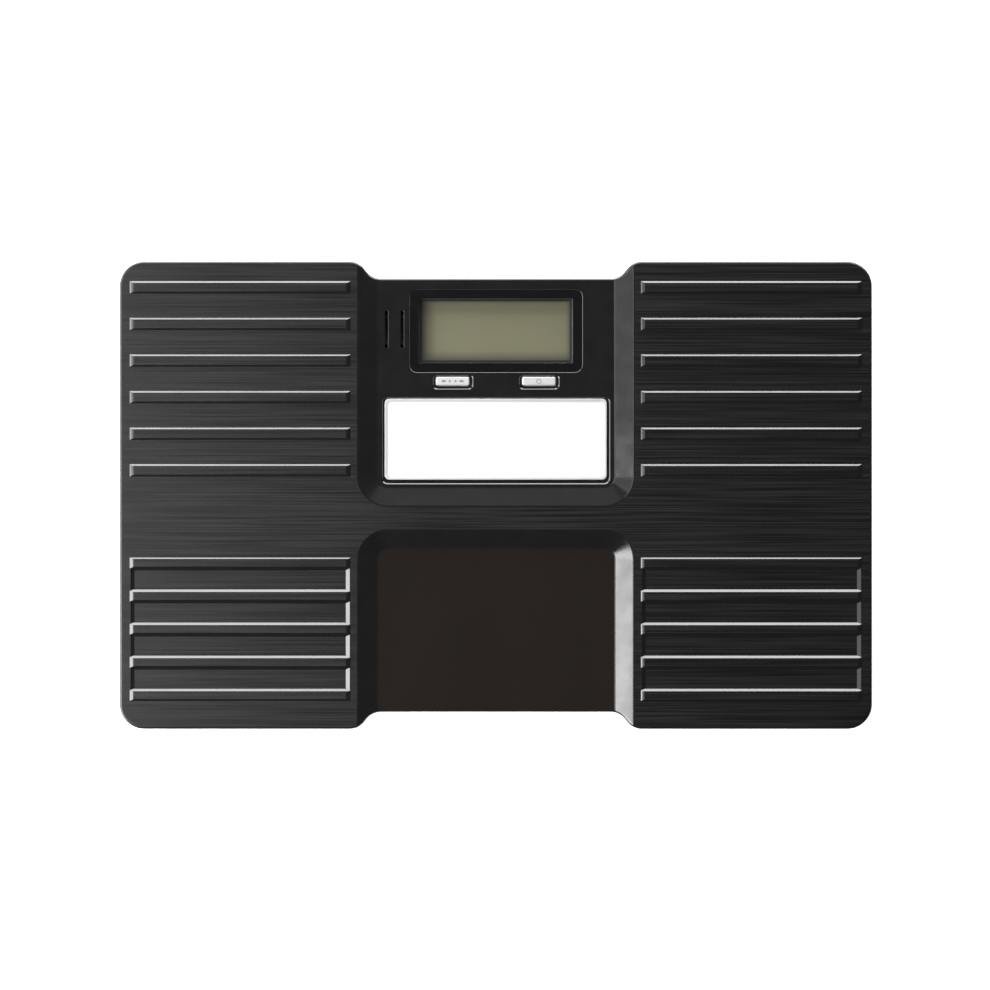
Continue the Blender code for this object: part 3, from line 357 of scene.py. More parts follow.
def moulding(name, loops, lines, kept, outer_z, inner_z, looks, finish_of=None, edge=None, up=True):
    """A closed moulding over a flat pattern. loops are closed and lines are open runs of (x, y);
    kept says which spots have material; outer_z and inner_z give the two surfaces. They meet at
    the height edge[1] where edge[0](x, y) is true, and walls join them at every other border."""
    points, edges = [], []
    for run, is_closed in [(loop, True) for loop in loops] + [(line, False) for line in lines]:
        first = len(points)
        points += [Vector(p) for p in run]
        edges += [(first + i, first + i + 1) for i in range(len(run) - 1)]
        if is_closed:
            edges.append((first + len(run) - 1, first))
    flat, _, triangles, *_ = delaunay_2d_cdt(points, edges, [], 0, 1e-4)
    plan = [(p.x, p.y) for p in flat]
    solid = []
    for triangle in triangles:
        a, b, c = (plan[i] for i in triangle)
        twice_area = (b[0] - a[0]) * (c[1] - a[1]) - (b[1] - a[1]) * (c[0] - a[0])
        if abs(twice_area) < 1e-7:
            continue
        if kept((a[0] + b[0] + c[0]) / 3, (a[1] + b[1] + c[1]) / 3):
            solid.append(triangle if twice_area > 0 else triangle[::-1])

    border = {}
    for triangle in solid:
        for i in range(3):
            pair = (triangle[i], triangle[(i + 1) % 3])
            if border.pop(pair[::-1], None) is None:
                border[pair] = True
    used = sorted({i for triangle in solid for i in triangle})
    rim = {i for pair in border for i in pair if edge and edge[0](*plan[i])}
    vertices, outer_at, inner_at = [], {}, {}
    for i in used:
        x, y = plan[i]
        outer_at[i] = len(vertices)
        vertices.append((x * MM, y * MM, (edge[1] if i in rim else outer_z(x, y)) * MM))
        inner_at[i] = outer_at[i]
        if i not in rim:
            inner_at[i] = len(vertices)
            vertices.append((x * MM, y * MM, inner_z(x, y) * MM))
    faces, slots = [], []
    for triangle in solid:
        x, y = (sum(plan[i][axis] for i in triangle) / 3 for axis in (0, 1))
        outer = [outer_at[i] for i in triangle]
        inner = [inner_at[i] for i in triangle]
        faces += [outer, inner[::-1]] if up else [outer[::-1], inner]
        slots += [finish_of(x, y) if finish_of else 0, len(looks) - 1]
    for a, b in border:
        if a in rim and b in rim:
            continue
        wall = [outer_at[b], outer_at[a], inner_at[a], inner_at[b]]
        faces.append(wall if up else wall[::-1])
        slots.append(len(looks) - 1)

    mesh = bpy.data.meshes.new(name)
    mesh.from_pydata(vertices, [], faces)
    for look in looks:
        mesh.materials.append(look)
    mesh.polygons.foreach_set("material_index", slots)
    mesh.validate()
    made = placed(name, mesh)
    shaded(made, MOULDING_SHARP_ANGLE)
    return made


# ---- Top cover ----
def cover_base(x, y):
    """The cover's surface before its rim: plateau, recesses, ribs, grooves and pockets."""
    height, _ = bar_height(x, y)
    for recess in (UPPER_RECESS, LOWER_RECESS):
        share = recess_share(x, y, *recess)
        if share < 1 + BROW_FILLET:
            height = RECESS_DEPTH * (rounded_slope(share) - 1)
    for shape, profile in POCKETS:
        inside = depth_inside(x, y, *shape)
        if inside > 0:
            height -= along_pocket(inside, profile)
    return PLATEAU_Z + height


def cover_outer(x, y):
    base = cover_base(x, y)
    inset = max(outline.inset(x, y), 0)
    if inset >= RIM_DRAFT + RIM_RADIUS:
        return base
    if inset <= RIM_DRAFT:
        return SEAM_Z + (base - RIM_RADIUS - SEAM_Z) * inset / RIM_DRAFT
    reach = RIM_RADIUS - (inset - RIM_DRAFT)
    return base - RIM_RADIUS + math.sqrt(max(RIM_RADIUS**2 - reach**2, 0))


BOSS_RADIUS, PILOT_RADIUS, PILOT_TOP_Z = 4.5, 2.05, 28.8
BOSS_WALL = 0.15  # plan width given to an upright wall


def cover_inner(x, y):
    inset = outline.inset(x, y)
    ceiling = PLATEAU_Z - COVER_WALL
    for recess in (UPPER_RECESS, LOWER_RECESS):
        share = recess_share(x, y, *recess)
        ceiling = min(ceiling, FLOOR_Z - FLOOR_WALL + RECESS_DEPTH * max(share, 0))
    if inset <= COVER_WALL:
        return SEAM_Z
    rise = min((inset - COVER_WALL) / RIM_DRAFT, 1)
    ceiling = SEAM_Z + (ceiling - SEAM_Z) * rise
    for cx, cy in SCREWS:
        away = math.hypot(x - cx, y - cy)
        if away < BOSS_RADIUS + BOSS_WALL:
            profile = [
                (PILOT_RADIUS - BOSS_WALL, PILOT_TOP_Z),
                (PILOT_RADIUS, SEAM_Z),
                (BOSS_RADIUS, SEAM_Z),
                (BOSS_RADIUS + BOSS_WALL, ceiling),
            ]
            return along_pocket(away, profile)
    return ceiling


def cover_finish(x, y):
    """0 is hairline, 1 is gloss and 2 is the lower recess's floor."""
    upper, lower = recess_share(x, y, *UPPER_RECESS), recess_share(x, y, *LOWER_RECESS)
    if lower < -FOOT_FILLET:
        return 2
    if min(upper, lower) < 1 + BROW_FILLET:
        return 1
    _, share = bar_height(x, y)
    return 1 if 0 < share < 0.99 else 0


def in_cover(x, y):
    if outline.inset(x, y) < 0:
        return False
    return all(depth_inside(x, y, *hole) < 0 for hole in COVER_HOLES)


def ring_insets():
    curve = [RIM_DRAFT + RIM_RADIUS * (1 - math.cos(math.radians(15 * i))) for i in range(7)]
    return [0, *curve, COVER_WALL, COVER_WALL + RIM_DRAFT]


def top_cover(looks):
    loops = [outline.ring(inset) for inset in ring_insets()]
    lines = []
    for recess in (UPPER_RECESS, LOWER_RECESS):
        lines += [recess_loop(share, *recess) for share in SLOPE_SHARES]
    for side in (1, -1):
        for bar in BARS:
            rectangles, mitres = bar_loops(*bar)
            loops += [[(side * x, y) for x, y in rectangle] for rectangle in rectangles]
            lines += [[(side * x, y) for x, y in mitre] for mitre in mitres]
    loops += pocket_loops(POCKETS)
    loops += [rounded_rectangle(*hole) for hole in COVER_HOLES]
    for cx, cy in SCREWS:
        radii = (PILOT_RADIUS - BOSS_WALL, PILOT_RADIUS, BOSS_RADIUS, BOSS_RADIUS + BOSS_WALL)
        loops += [circle(cx, cy, radius) for radius in radii]
    made = moulding(
        "cover_shell", loops, lines, in_cover, cover_outer, cover_inner, looks, cover_finish,
        edge=(lambda x, y: outline.inset(x, y) < 0.01, SEAM_Z),
    )
    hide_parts("top_cover")
    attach(made, "chassis")


# ---- Bottom housing ----
HOUSING_INSET = outline.inset(housing_high.x, 0)
HOUSING_TOP_Z, BASE_Z = housing_high.z, housing_low.z
HOUSING_WALL = 2.2
# (distance inside the housing's own edge, height) down its side and round its lower edge
HOUSING_SIDE = [(0, 21.7), (1.7, 14.4), (2.3, 12.0), (2.9, 10.6), (3.9, 9.3), (5.2, 8.1), (6.7, 7.0)]
HOUSING_SIDE += [(7.6, 6.4), (8.2, 6.1), (9.0, 6.0)]
FOOT_HOLE_RADIUS = 17.0
COUNTERBORE_RADIUS, HOUSING_BOSS_RADIUS = 4.2, 6.2
SCREW_SHOULDER_Z = 9.5
DOOR_EDGE = (0, BAY_CENTRE, 74.0, 70.0, 3.0)
DOOR_THICKNESS = 2.0
HINGE_Y = BAY_CENTRE - DOOR_EDGE[3] / 2
REBATE = (0, BAY_CENTRE, 74.6, 70.6, 3.3)
BAY_FLANGE = (0, BAY_CENTRE, 84.0, 84.0, 4.0)
BAY_OUTER = (0, BAY_CENTRE, 66.0, 66.0, 2.0)
BAY_INNER = (0, BAY_CENTRE, 61.0, 61.5, 1.0)
FLANGE_TOP_Z, BAY_TOP_Z, BAY_CEILING_Z = 10.5, 25.8, 23.8
TAB_X, TAB_WIDTH, TAB_REACH, TAB_LOW_Z = 22.0, 8.0, 3.0, 7.2
TAB_POCKETS = [(side * TAB_X, HINGE_Y - 0.75, 8.6, 7.5, 0.3) for side in (-1, 1)]
TAB_HOLES = [(side * TAB_X, HINGE_Y + 1.35, 8.6, 3.3, 0.3) for side in (-1, 1)]
LATCH_HOLE = (0, HINGE_Y + DOOR_EDGE[3] - 0.75, 16.0, 1.9, 0.3)
SIDE_PANELS = [(side * 183.0, 0, 122.0, 196.0, 9.0) for side in (-1, 1)]
LABEL_PANEL = (0, 0, 96.0, 40.0, 3.0)
REAR_GROOVES = [(0, 52.0 + 9 * i, 130.0, 3.0, 1.4) for i in range(8)]
SHALLOW = [(0, 0), (0.5, 0.35), (0.7, 0.45)]
STEP = 0.15  # plan width given to an upright step


def housing_profile(x, y, moved=0.0):
    """The housing's side as a height, moved inwards by a distance."""
    return along_pocket(outline.inset(x, y) - HOUSING_INSET - moved, HOUSING_SIDE)


def step_up(level, inside, height):
    """Raises a level to a height inside a border, over one step."""
    share = min(max(inside / STEP, 0), 1)
    return level + (max(height, level) - level) * share


def housing_outer(x, y):
    level = housing_profile(x, y)
    for shape in (*SIDE_PANELS, LABEL_PANEL, *REAR_GROOVES):
        inside = depth_inside(x, y, *shape)
        if inside > 0:
            level += along_pocket(inside, SHALLOW)
    for cx, cy in FEET.values():
        away = math.hypot(x - cx, y - cy) - FOOT_HOLE_RADIUS
        level += along_pocket(away, [(0, 0.6), (1, 0)])
    for cx, cy in SCREWS:
        inside = COUNTERBORE_RADIUS - math.hypot(x - cx, y - cy)
        level = step_up(level, inside, SCREW_SHOULDER_Z)
    level = step_up(level, depth_inside(x, y, *REBATE), BASE_Z + DOOR_THICKNESS + 0.3)
    return step_up(level, depth_inside(x, y, *BAY_INNER), BAY_CEILING_Z)


def housing_inner(x, y):
    level = max(BASE_Z + HOUSING_WALL, housing_profile(x, y, HOUSING_WALL))
    level = step_up(level, depth_inside(x, y, *BAY_FLANGE), FLANGE_TOP_Z)
    level = step_up(level, depth_inside(x, y, *BAY_OUTER), BAY_TOP_Z)
    for cx, cy in SCREWS:
        inside = HOUSING_BOSS_RADIUS - math.hypot(x - cx, y - cy)
        level = step_up(level, inside, HOUSING_TOP_Z)
    for pocket in TAB_POCKETS:
        inside = depth_inside(x, y, *pocket)
        if inside > -STEP and depth_inside(x, y, *BAY_OUTER) < STEP:
            share = min(max(1 + inside / STEP, 0), 1)
            level += (TAB_LOW_Z - 0.3 - level) * share
    return level


def in_housing(x, y):
    if outline.inset(x, y) < HOUSING_INSET:
        return False
    if any(depth_inside(x, y, *hole) > 0 for hole in (*TAB_HOLES, LATCH_HOLE)):
        return False
    if any(math.hypot(x - cx, y - cy) < PILOT_RADIUS for cx, cy in SCREWS):
        return False
    return all(math.hypot(x - cx, y - cy) > FOOT_HOLE_RADIUS for cx, cy in FEET.values())


def bottom_housing(looks):
    insets = sorted({d for d, _ in HOUSING_SIDE} | {d + HOUSING_WALL for d, _ in HOUSING_SIDE})
    loops = [outline.ring(HOUSING_INSET + inset) for inset in insets]
    loops += pocket_loops([(shape, SHALLOW) for shape in (*SIDE_PANELS, LABEL_PANEL, *REAR_GROOVES)])
    for cx, cy in FEET.values():
        loops += [circle(cx, cy, FOOT_HOLE_RADIUS + more, 64) for more in (0, 0.5, 1)]
    for cx, cy in SCREWS:
        for radius in (COUNTERBORE_RADIUS, HOUSING_BOSS_RADIUS):
            loops += [circle(cx, cy, radius), circle(cx, cy, radius - STEP)]
        loops.append(circle(cx, cy, PILOT_RADIUS))
    stepped = (REBATE, BAY_FLANGE, BAY_OUTER, BAY_INNER)
    loops += pocket_loops([(shape, [(0, 0), (STEP, 0)]) for shape in stepped])
    loops += pocket_loops([(shape, [(-STEP, 0), (0, 0)]) for shape in TAB_POCKETS])
    loops += [rounded_rectangle(*hole) for hole in (*TAB_HOLES, LATCH_HOLE)]
    made = moulding(
        "housing_shell", loops, [], in_housing, housing_outer, housing_inner, looks,
        edge=(lambda x, y: outline.inset(x, y) < HOUSING_INSET + 0.01, HOUSING_TOP_Z), up=False,
    )
    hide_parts("bottom_housing")
    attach(made, "chassis")


# ---- Battery door ----
DOOR_TABS = [
    (side * TAB_X, HINGE_Y - TAB_REACH / 2 + 0.3, TAB_WIDTH, TAB_REACH + 0.6, 0.3) for side in (-1, 1)
]
THUMB = (0, HINGE_Y + 56, 26.0, 16.0, 4.0)
THUMB_RIDGES = [(0, HINGE_Y + 51.2 + 2.4 * i, 20.0, 1.2, 0.55) for i in range(5)]
DOOR_RIBS = [(x, BAY_CENTRE, 1.2, 54.0, 0.5) for x in (-24, -12, 0, 12, 24)]
LATCH = (0, HINGE_Y + DOOR_EDGE[3] - 0.9, 14.0, 1.0, 0.25)
LATCH_TOP_Z = 11.8


def door_outer(x, y):
    inside = depth_inside(x, y, *DOOR_EDGE)
    if inside < 0:
        return TAB_LOW_Z
    level = BASE_Z + along_pocket(inside, [(0, 0.5), (0.15, 0.2), (0.5, 0)])
    level += along_pocket(max(depth_inside(x, y, *THUMB), 0), [(0, 0), (2.0, 0.55)])
    for ridge in THUMB_RIDGES:
        level -= along_pocket(max(depth_inside(x, y, *ridge), 0), [(0, 0), (0.35, 0.45)])
    return max(level, BASE_Z)


def door_inner(x, y):
    level = BASE_Z + DOOR_THICKNESS
    for rib in DOOR_RIBS:
        level += along_pocket(max(depth_inside(x, y, *rib), 0), [(0, 0), (STEP, 0.35)])
    return step_up(level, depth_inside(x, y, *LATCH), LATCH_TOP_Z)


def in_door(x, y):
    return any(depth_inside(x, y, *shape) > 0 for shape in (DOOR_EDGE, *DOOR_TABS))


def battery_door(looks):
    pockets = [(DOOR_EDGE, [(0, 0), (0.15, 0), (0.5, 0)]), (THUMB, [(0, 0), (0.7, 0), (1.4, 0), (2.0, 0)])]
    pockets += [(ridge, [(0, 0), (0.35, 0)]) for ridge in THUMB_RIDGES]
    pockets += [(rib, [(0, 0), (STEP, 0)]) for rib in (*DOOR_RIBS, LATCH)]
    loops = pocket_loops(pockets) + [rounded_rectangle(*tab) for tab in DOOR_TABS]
    made = moulding("door_panel", loops, [], in_door, door_outer, door_inner, looks, up=False)
    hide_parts("battery_door")
    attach(made, "door")


# ---- Small parts built from rings ----
def finished(made, looks, nodes, body):
    """Gives a piece its materials, its shading and its place in the frame."""
    for look in looks:
        made.data.materials.append(look)
    shaded(made, SMALL_SHARP_ANGLE)
    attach(made, body)
    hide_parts(*nodes)


def ringed(name, rings, closed=False, slots=()):
    """A body through rings of equal length, from the lowest up, capped or joined end to end.
    slots holds (index of a band, material slot); the caps are bands -1 and len(rings) - 1."""
    count = len(rings[0])
    vertices = [tuple(value * MM for value in point) for ring in rings for point in ring]
    faces, bands = [], []
    last = len(rings) if closed else len(rings) - 1
    for band in range(last):
        a, b = band * count, (band + 1) % len(rings) * count
        for i in range(count):
            j = (i + 1) % count
            faces.append((a + i, a + j, b + j, b + i))
            bands.append(band)
    if not closed:
        faces.append(tuple(range(count))[::-1])
        faces.append(tuple(range(last * count, last * count + count)))
        bands += [-1, last]
    mesh = bpy.data.meshes.new(name)
    mesh.from_pydata(vertices, [], faces)
    chosen = dict(slots)
    for face, band in zip(mesh.polygons, bands):
        face.material_index = chosen.get(band, 0)
    return placed(name, mesh)


def level_rings(shape, levels, steps=8):
    """Rings of a rounded rectangle from (inset, height) levels."""
    return [[(x, y, z) for x, y in rounded_rectangle(*shrunk(shape, inset), steps)] for inset, z in levels]


def soft_levels(low, high, radius, steps=3):
    """(inset, height) levels of a slab with rounded lower and upper edges."""
    turns = [math.radians(90 * i / steps) for i in range(steps + 1)]
    lower = [(radius * (1 - math.sin(t)), low + radius * (1 - math.cos(t))) for t in turns]
    upper = [(radius * (1 - math.cos(t)), high - radius * (1 - math.sin(t))) for t in turns]
    return lower + upper


def lens(looks):
    """The display's cover: clear in the middle, printed black from behind round the edge."""
    low, high = node_box("display_lens")
    shape = (*node_rectangle("display_lens"), 5.7)
    window = 6.7
    levels = [(window, low.z), *soft_levels(low.z, high.z, 0.2), (window, high.z)]
    made = ringed("lens_plate", level_rings(shape, levels), slots=[(-1, 1), (len(levels) - 1, 1)])
    finished(made, looks, ["display_lens"], "chassis")


def display_frame(looks):
    """A surround with a raised line round its mouth and a ledge over the cell's edge."""
    low, high = node_box("display_frame")
    shape = (*node_rectangle("display_frame"), 2.0)
    lip = node_box("lcd_panel")[1].z + 0.3
    profile = [(0, low.z), (0, high.z - 0.5), (0.2, high.z - 0.3), (4.2, high.z - 0.3)]
    profile += [(4.3, high.z - 0.15), (4.55, high.z), (4.8, high.z), (5.05, high.z - 0.15)]
    profile += [(5.15, lip + 0.5), (5.3, lip + 0.3), (7.0, lip + 0.1), (7.1, lip), (3.7, lip), (3.7, low.z)]
    rings = level_rings(shape, profile, 6)
    line = [(band, 1) for band in range(3, 7)]
    made = ringed("display_bezel", rings, closed=True, slots=line)
    finished(made, looks, ["display_frame"], "chassis")


def lcd(looks):
    """A glass cell with a polariser film on top."""
    low, high = node_box("lcd_panel")
    shape = (*node_rectangle("lcd_panel"), 0.5)
    levels = [(0.2, low.z), (0, low.z + 0.2), (0, high.z - 0.4), (0.2, high.z - 0.2)]
    levels += [(1.6, high.z - 0.2), (1.6, high.z - 0.05), (1.75, high.z)]
    rings = level_rings(shape, levels, 3)
    made = ringed("lcd_cell", rings, slots=[(5, 1), (6, 1)])
    finished(made, looks, ["lcd_panel"], "chassis")


def button(key, marks, look, print_look):
    """A capped key with a flange under the cover, and the marks printed on it."""
    low, high = node_box(f"{key}_button")
    x, y, width, depth = node_rectangle(f"{key}_button")
    shape = (x, y, width, depth + 0.4, 2.6)
    cap = 1.35
    crown = [(0, 0.55), (0.08, 0.32), (0.25, 0.13), (0.55, 0.03), (1.2, 0)]  # (inset, drop) over its edge
    levels = [(0, low.z), (0, low.z + 0.8), (cap, low.z + 0.8)]
    levels += [(cap + inset, high.z - drop) for inset, drop in crown]
    made = ringed(f"{key}_cap", level_rings(shape, levels, 6))
    finished(made, [look], [f"{key}_button"], f"{key}_key")
    print_mark(f"{key}_mark", marks, (x, y, high.z), print_look, f"{key}_key")


INK_HEIGHT = 0.02


def print_mark(name, outlines, centre, look, body):
    """Raised ink: closed outlines round the centre, a little proud of the face."""
    data = bpy.data.curves.new(name, "CURVE")
    data.dimensions = "2D"
    data.fill_mode = "BOTH"
    data.extrude = INK_HEIGHT * MM
    for points in outlines:
        spline = data.splines.new("POLY")
        spline.points.add(len(points) - 1)
        for target, (x, y) in zip(spline.points, points):
            target.co = (x * MM, y * MM, 0, 1)
        spline.use_cyclic_u = True
    curve = placed(name, data)
    curve.location = [value * MM for value in centre]
    mesh = bpy.data.meshes.new_from_object(curve.evaluated_get(bpy.context.evaluated_depsgraph_get()))
    mesh.transform(curve.matrix_world)
    bpy.data.objects.remove(curve)
    merged = bmesh.new()
    merged.from_mesh(mesh)
    bmesh.ops.remove_doubles(merged, verts=merged.verts, dist=1e-7)
    merged.to_mesh(mesh)
    mesh.materials.clear()
    mesh.materials.append(look)
    made = placed(name, mesh)
    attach(made, body)


def ring_mark(radius, width, gap):
    """An open ring as one outline, with its gap at the top."""
    outer = arc(0, 0, radius, 90 + gap, 450 - gap, 20)
    return outer + arc(0, 0, radius - width, 450 - gap, 90 + gap, 20)


def bar_mark(x, y, width, depth):
    return rounded_rectangle(x, y, width, depth, min(width, depth) / 2 - 0.02, 3)


def name_plate(look):
    """A shallow dish: a narrow rim, a soft slope and the flat face inside it."""
    low, high = node_box("name_plate")
    x, y, width, depth = node_rectangle("name_plate")
    levels = [(0.1, low.z), (0, low.z + 0.1), (0, high.z - 0.25), (0.08, high.z - 0.1), (0.25, high.z)]
    for share in (i / DISH_STEPS for i in range(DISH_STEPS + 1)):
        drop = DISH_DEPTH * share**2 * (3 - 2 * share)
        levels.append((PLATE_RIM + DISH_RUN * share, high.z - drop))
    rings = [
        [(px, py, z) for px, py in rounded_rectangle(x, y, width - 2 * d, depth - 2 * d, 3.5 - 0.2 * d, 10)]
        for d, z in levels
    ]
    finished(ringed("plate", rings), [look], ["name_plate"], "chassis")


def turned(name, profile, centre, steps=64):
    """A body turned about an upright axis, from (radius, height) points, the lowest end first."""
    angles = [2 * math.pi * i / steps for i in range(steps)]
    rings = [
        [(centre[0] + r * math.cos(a), centre[1] + r * math.sin(a), z) for a in angles]
        for r, z in profile
    ]
    return ringed(name, rings)


FOOT_PROFILE = [(12.6, 2.25), (14.3, 2.25), (14.8, 2.45), (15.0, 2.9), (15.0, 6.2), (14.8, 6.6), (14.4, 6.8)]
FOOT_PROFILE += [(9.8, 6.8), (9.2, 7.0), (9.0, 7.6), (9.0, 10.2), (8.85, 10.55), (8.5, 10.7), (3.0, 10.7)]
PAD_PROFILE = [(1.6, 0.7), (2.2, 0.6), (2.5, 0.1), (2.8, 0), (5.0, 0), (5.3, 0.1), (5.5, 0.6), (6.7, 0.6)]
PAD_PROFILE += [(6.9, 0.1), (7.2, 0), (9.0, 0), (9.3, 0.1), (9.5, 0.6), (10.5, 0.6), (10.7, 0.1), (11.0, 0)]
PAD_PROFILE += [(12.4, 0), (12.85, 0.15), (13.0, 0.6), (13.0, 1.9), (12.9, 2.2)]


def feet(foot_look, pad_look):
    for corner, centre in FEET.items():
        foot = turned(f"foot_disc_{corner}", FOOT_PROFILE, centre)
        finished(foot, [foot_look], [f"foot_{corner}"], "chassis")
        pad = turned(f"pad_disc_{corner}", PAD_PROFILE, centre)
        finished(pad, [pad_look], [f"foot_pad_{corner}"], "chassis")


def dressed(look, pattern, edge=0.0):
    """Gives every CAD node whose name fits the pattern a finish, and softens its edges."""
    for name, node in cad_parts.items():
        if not re.fullmatch(pattern, name):
            continue
        for place in node.material_slots:
            place.material = look
        weld = node.modifiers.new("weld", "WELD")
        weld.merge_threshold = 0.001 * MM
        if edge:
            soft = node.modifiers.new("soft_edges", "BEVEL")
            soft.width = edge * MM
            soft.segments = 2
            soft.angle_limit = math.radians(SOFT_EDGE_ANGLE)
            soft.harden_normals = True


# ---- Materials ----
def add_node(tree, kind, inputs=(), **settings):
    """A shader node. Each input is a value or another node's output socket."""
    node = tree.nodes.new(kind)
    for key, value in settings.items():
        setattr(node, key, value)
    for key, value in dict(inputs).items():
        if isinstance(value, bpy.types.NodeSocket):
            tree.links.new(value, node.inputs[key])
        else:
            node.inputs[key].default_value = value
    return node


def grey(value):
    return (value,) * 3


def new_look(name, colour, roughness, metallic=0.0, **values):
    look = bpy.data.materials.new(name)
    look.use_nodes = True
    shader = look.node_tree.nodes["Principled BSDF"]
    shader.inputs["Base Color"].default_value = (*colour, 1)
    shader.inputs["Roughness"].default_value = roughness
    shader.inputs["Metallic"].default_value = metallic
    for key, value in values.items():
        shader.inputs[key.replace("_", " ")].default_value = value
    return look, look.node_tree, shader


def feed(tree, shader, **sockets):
    """Links sockets to the shader's inputs."""
    for key, socket in sockets.items():
        tree.links.new(socket, shader.inputs[key.replace("_", " ")])


def own_place(tree):
    """A place in the object's own coordinates."""
    return add_node(tree, "ShaderNodeTexCoord").outputs["Object"]


def own_axis(tree, axis):
    return add_node(tree, "ShaderNodeSeparateXYZ", {"Vector": own_place(tree)}).outputs[axis]


def reckon(tree, operation, *values, **settings):
    """Arithmetic on sockets and numbers."""
    return add_node(
        tree, "ShaderNodeMath", dict(enumerate(values)), operation=operation, **settings
    ).outputs[0]


def stretched_noise(tree, scale, detail=2.0, roughness=0.5):
    """Noise over the object's own coordinates. Its scale is a number, or one for each axis."""
    scale = scale if isinstance(scale, tuple) else (scale,) * 3
    mapping = add_node(tree, "ShaderNodeMapping", {"Vector": own_place(tree), "Scale": scale})
    values = {"Vector": mapping.outputs["Vector"], "Scale": 1.0, "Detail": detail, "Roughness": roughness}
    return add_node(tree, "ShaderNodeTexNoise", values).outputs["Fac"]


def spread(tree, value, low, high, to_low, to_high):
    """A socket's value moved from one range to another."""
    values = {"Value": value, "From Min": low, "From Max": high, "To Min": to_low, "To Max": to_high}
    return add_node(tree, "ShaderNodeMapRange", values).outputs["Result"]


def between(tree, share, dark, light):
    """A colour between two others. The dark one may be a socket."""
    dark = (*dark, 1) if isinstance(dark, tuple) else dark
    values = {"Factor": share, "A": dark, "B": (*light, 1)}
    return add_node(tree, "ShaderNodeMix", values, data_type="RGBA").outputs["Result"]


def bump(tree, shader, height, strength, distance):
    values = {"Height": height, "Strength": strength, "Distance": distance}
    feed(tree, shader, Normal=add_node(tree, "ShaderNodeBump", values).outputs["Normal"])


def hairline_black():
    """Black moulding with a brushed finish across its width."""
    look, tree, shader = new_look("hairline_black", grey(0.002), 0.36)
    long = stretched_noise(tree, (1.5, 1150, 250), 1.0, 0.8)
    short = stretched_noise(tree, (12, 1400, 250), 0.0, 0.5)
    streak = spread(tree, reckon(tree, "ADD", long, short), 0.82, 1.18, 0.0, 1.0)
    colour = between(tree, streak, grey(0.0001), (0.0046, 0.0046, 0.0050))
    feed(tree, shader, Base_Color=colour, Roughness=spread(tree, streak, 0.0, 1.0, 0.31, 0.40))
    bump(tree, shader, streak, 0.3, 0.00004)
    return look


def gloss_black():
    """The same moulding where its tool is polished."""
    look, tree, shader = new_look("gloss_black", grey(0.006), 0.13, IOR=1.55)
    cloud = stretched_noise(tree, 60, 3.0, 0.5)
    grain = stretched_noise(tree, 2500, 2.0, 0.6)
    colour = between(tree, cloud, (0.004, 0.004, 0.0042), grey(0.007))
    feed(tree, shader, Base_Color=colour, Roughness=spread(tree, cloud, 0.35, 0.65, 0.10, 0.16))
    bump(tree, shader, grain, 0.12, 0.00002)
    return look


def tray_black():
    """The lower recess's floor: smooth, and a little brown."""
    look, tree, shader = new_look("tray_black", (0.012, 0.008, 0.006), 0.16, IOR=1.55)
    cloud = stretched_noise(tree, (14, 9, 9), 2.0, 0.5)
    grain = stretched_noise(tree, 1600, 2.0, 0.6)
    colour = between(tree, cloud, (0.0065, 0.0045, 0.0033), (0.0105, 0.0075, 0.0056))
    feed(tree, shader, Base_Color=colour, Roughness=spread(tree, grain, 0.3, 0.7, 0.13, 0.2))
    bump(tree, shader, grain, 0.1, 0.00002)
    return look


def raw_black():
    """Unpolished inside faces."""
    look, tree, shader = new_look("raw_black", grey(0.02), 0.55)
    grain = stretched_noise(tree, 1800, 3.0, 0.6)
    colour = between(tree, grain, grey(0.012), grey(0.028))
    feed(tree, shader, Base_Color=colour, Roughness=spread(tree, grain, 0.3, 0.7, 0.5, 0.65))
    bump(tree, shader, grain, 0.3, 0.00004)
    return look


def moulded(name, colour, roughness, grain_size=0.0006, depth=0.00004, **values):
    """Plastic with a fine moulded grain and a faint unevenness of colour."""
    look, tree, shader = new_look(name, colour, roughness, **values)
    grain = stretched_noise(tree, 1 / grain_size, 3.0, 0.6)
    cloud = stretched_noise(tree, 35, 2.0, 0.5)
    both = reckon(tree, "ADD", grain, cloud)
    share = spread(tree, both, 0.7, 1.3, 0.0, 1.0)
    dark, light = (tuple(value * factor for value in colour) for factor in (0.86, 1.1))
    rough = spread(tree, both, 0.7, 1.3, roughness - 0.05, roughness + 0.06)
    feed(tree, shader, Base_Color=between(tree, share, dark, light), Roughness=rough)
    bump(tree, shader, grain, 0.3, depth)
    return look


def metal(name, colour, roughness, along=(900, 60, 900)):
    """Rolled or drawn metal, with faint lines along one axis."""
    look, tree, shader = new_look(name, colour, roughness, 1.0)
    lines = stretched_noise(tree, along, 2.0, 0.6)
    cloud = stretched_noise(tree, 50, 3.0, 0.5)
    dark = tuple(value * 0.82 for value in colour)
    rough = spread(tree, lines, 0.3, 0.7, roughness - 0.07, roughness + 0.1)
    feed(tree, shader, Base_Color=between(tree, cloud, dark, colour), Roughness=rough)
    bump(tree, shader, lines, 0.2, 0.00002)
    return look


def clear_window():
    look, tree, shader = new_look("clear_window", grey(0.02), 0.03, Alpha=0.1)
    wave = stretched_noise(tree, 25, 1.0, 0.5)
    feed(tree, shader, Roughness=spread(tree, wave, 0.3, 0.7, 0.02, 0.05))
    bump(tree, shader, wave, 0.05, 0.00005)
    return look


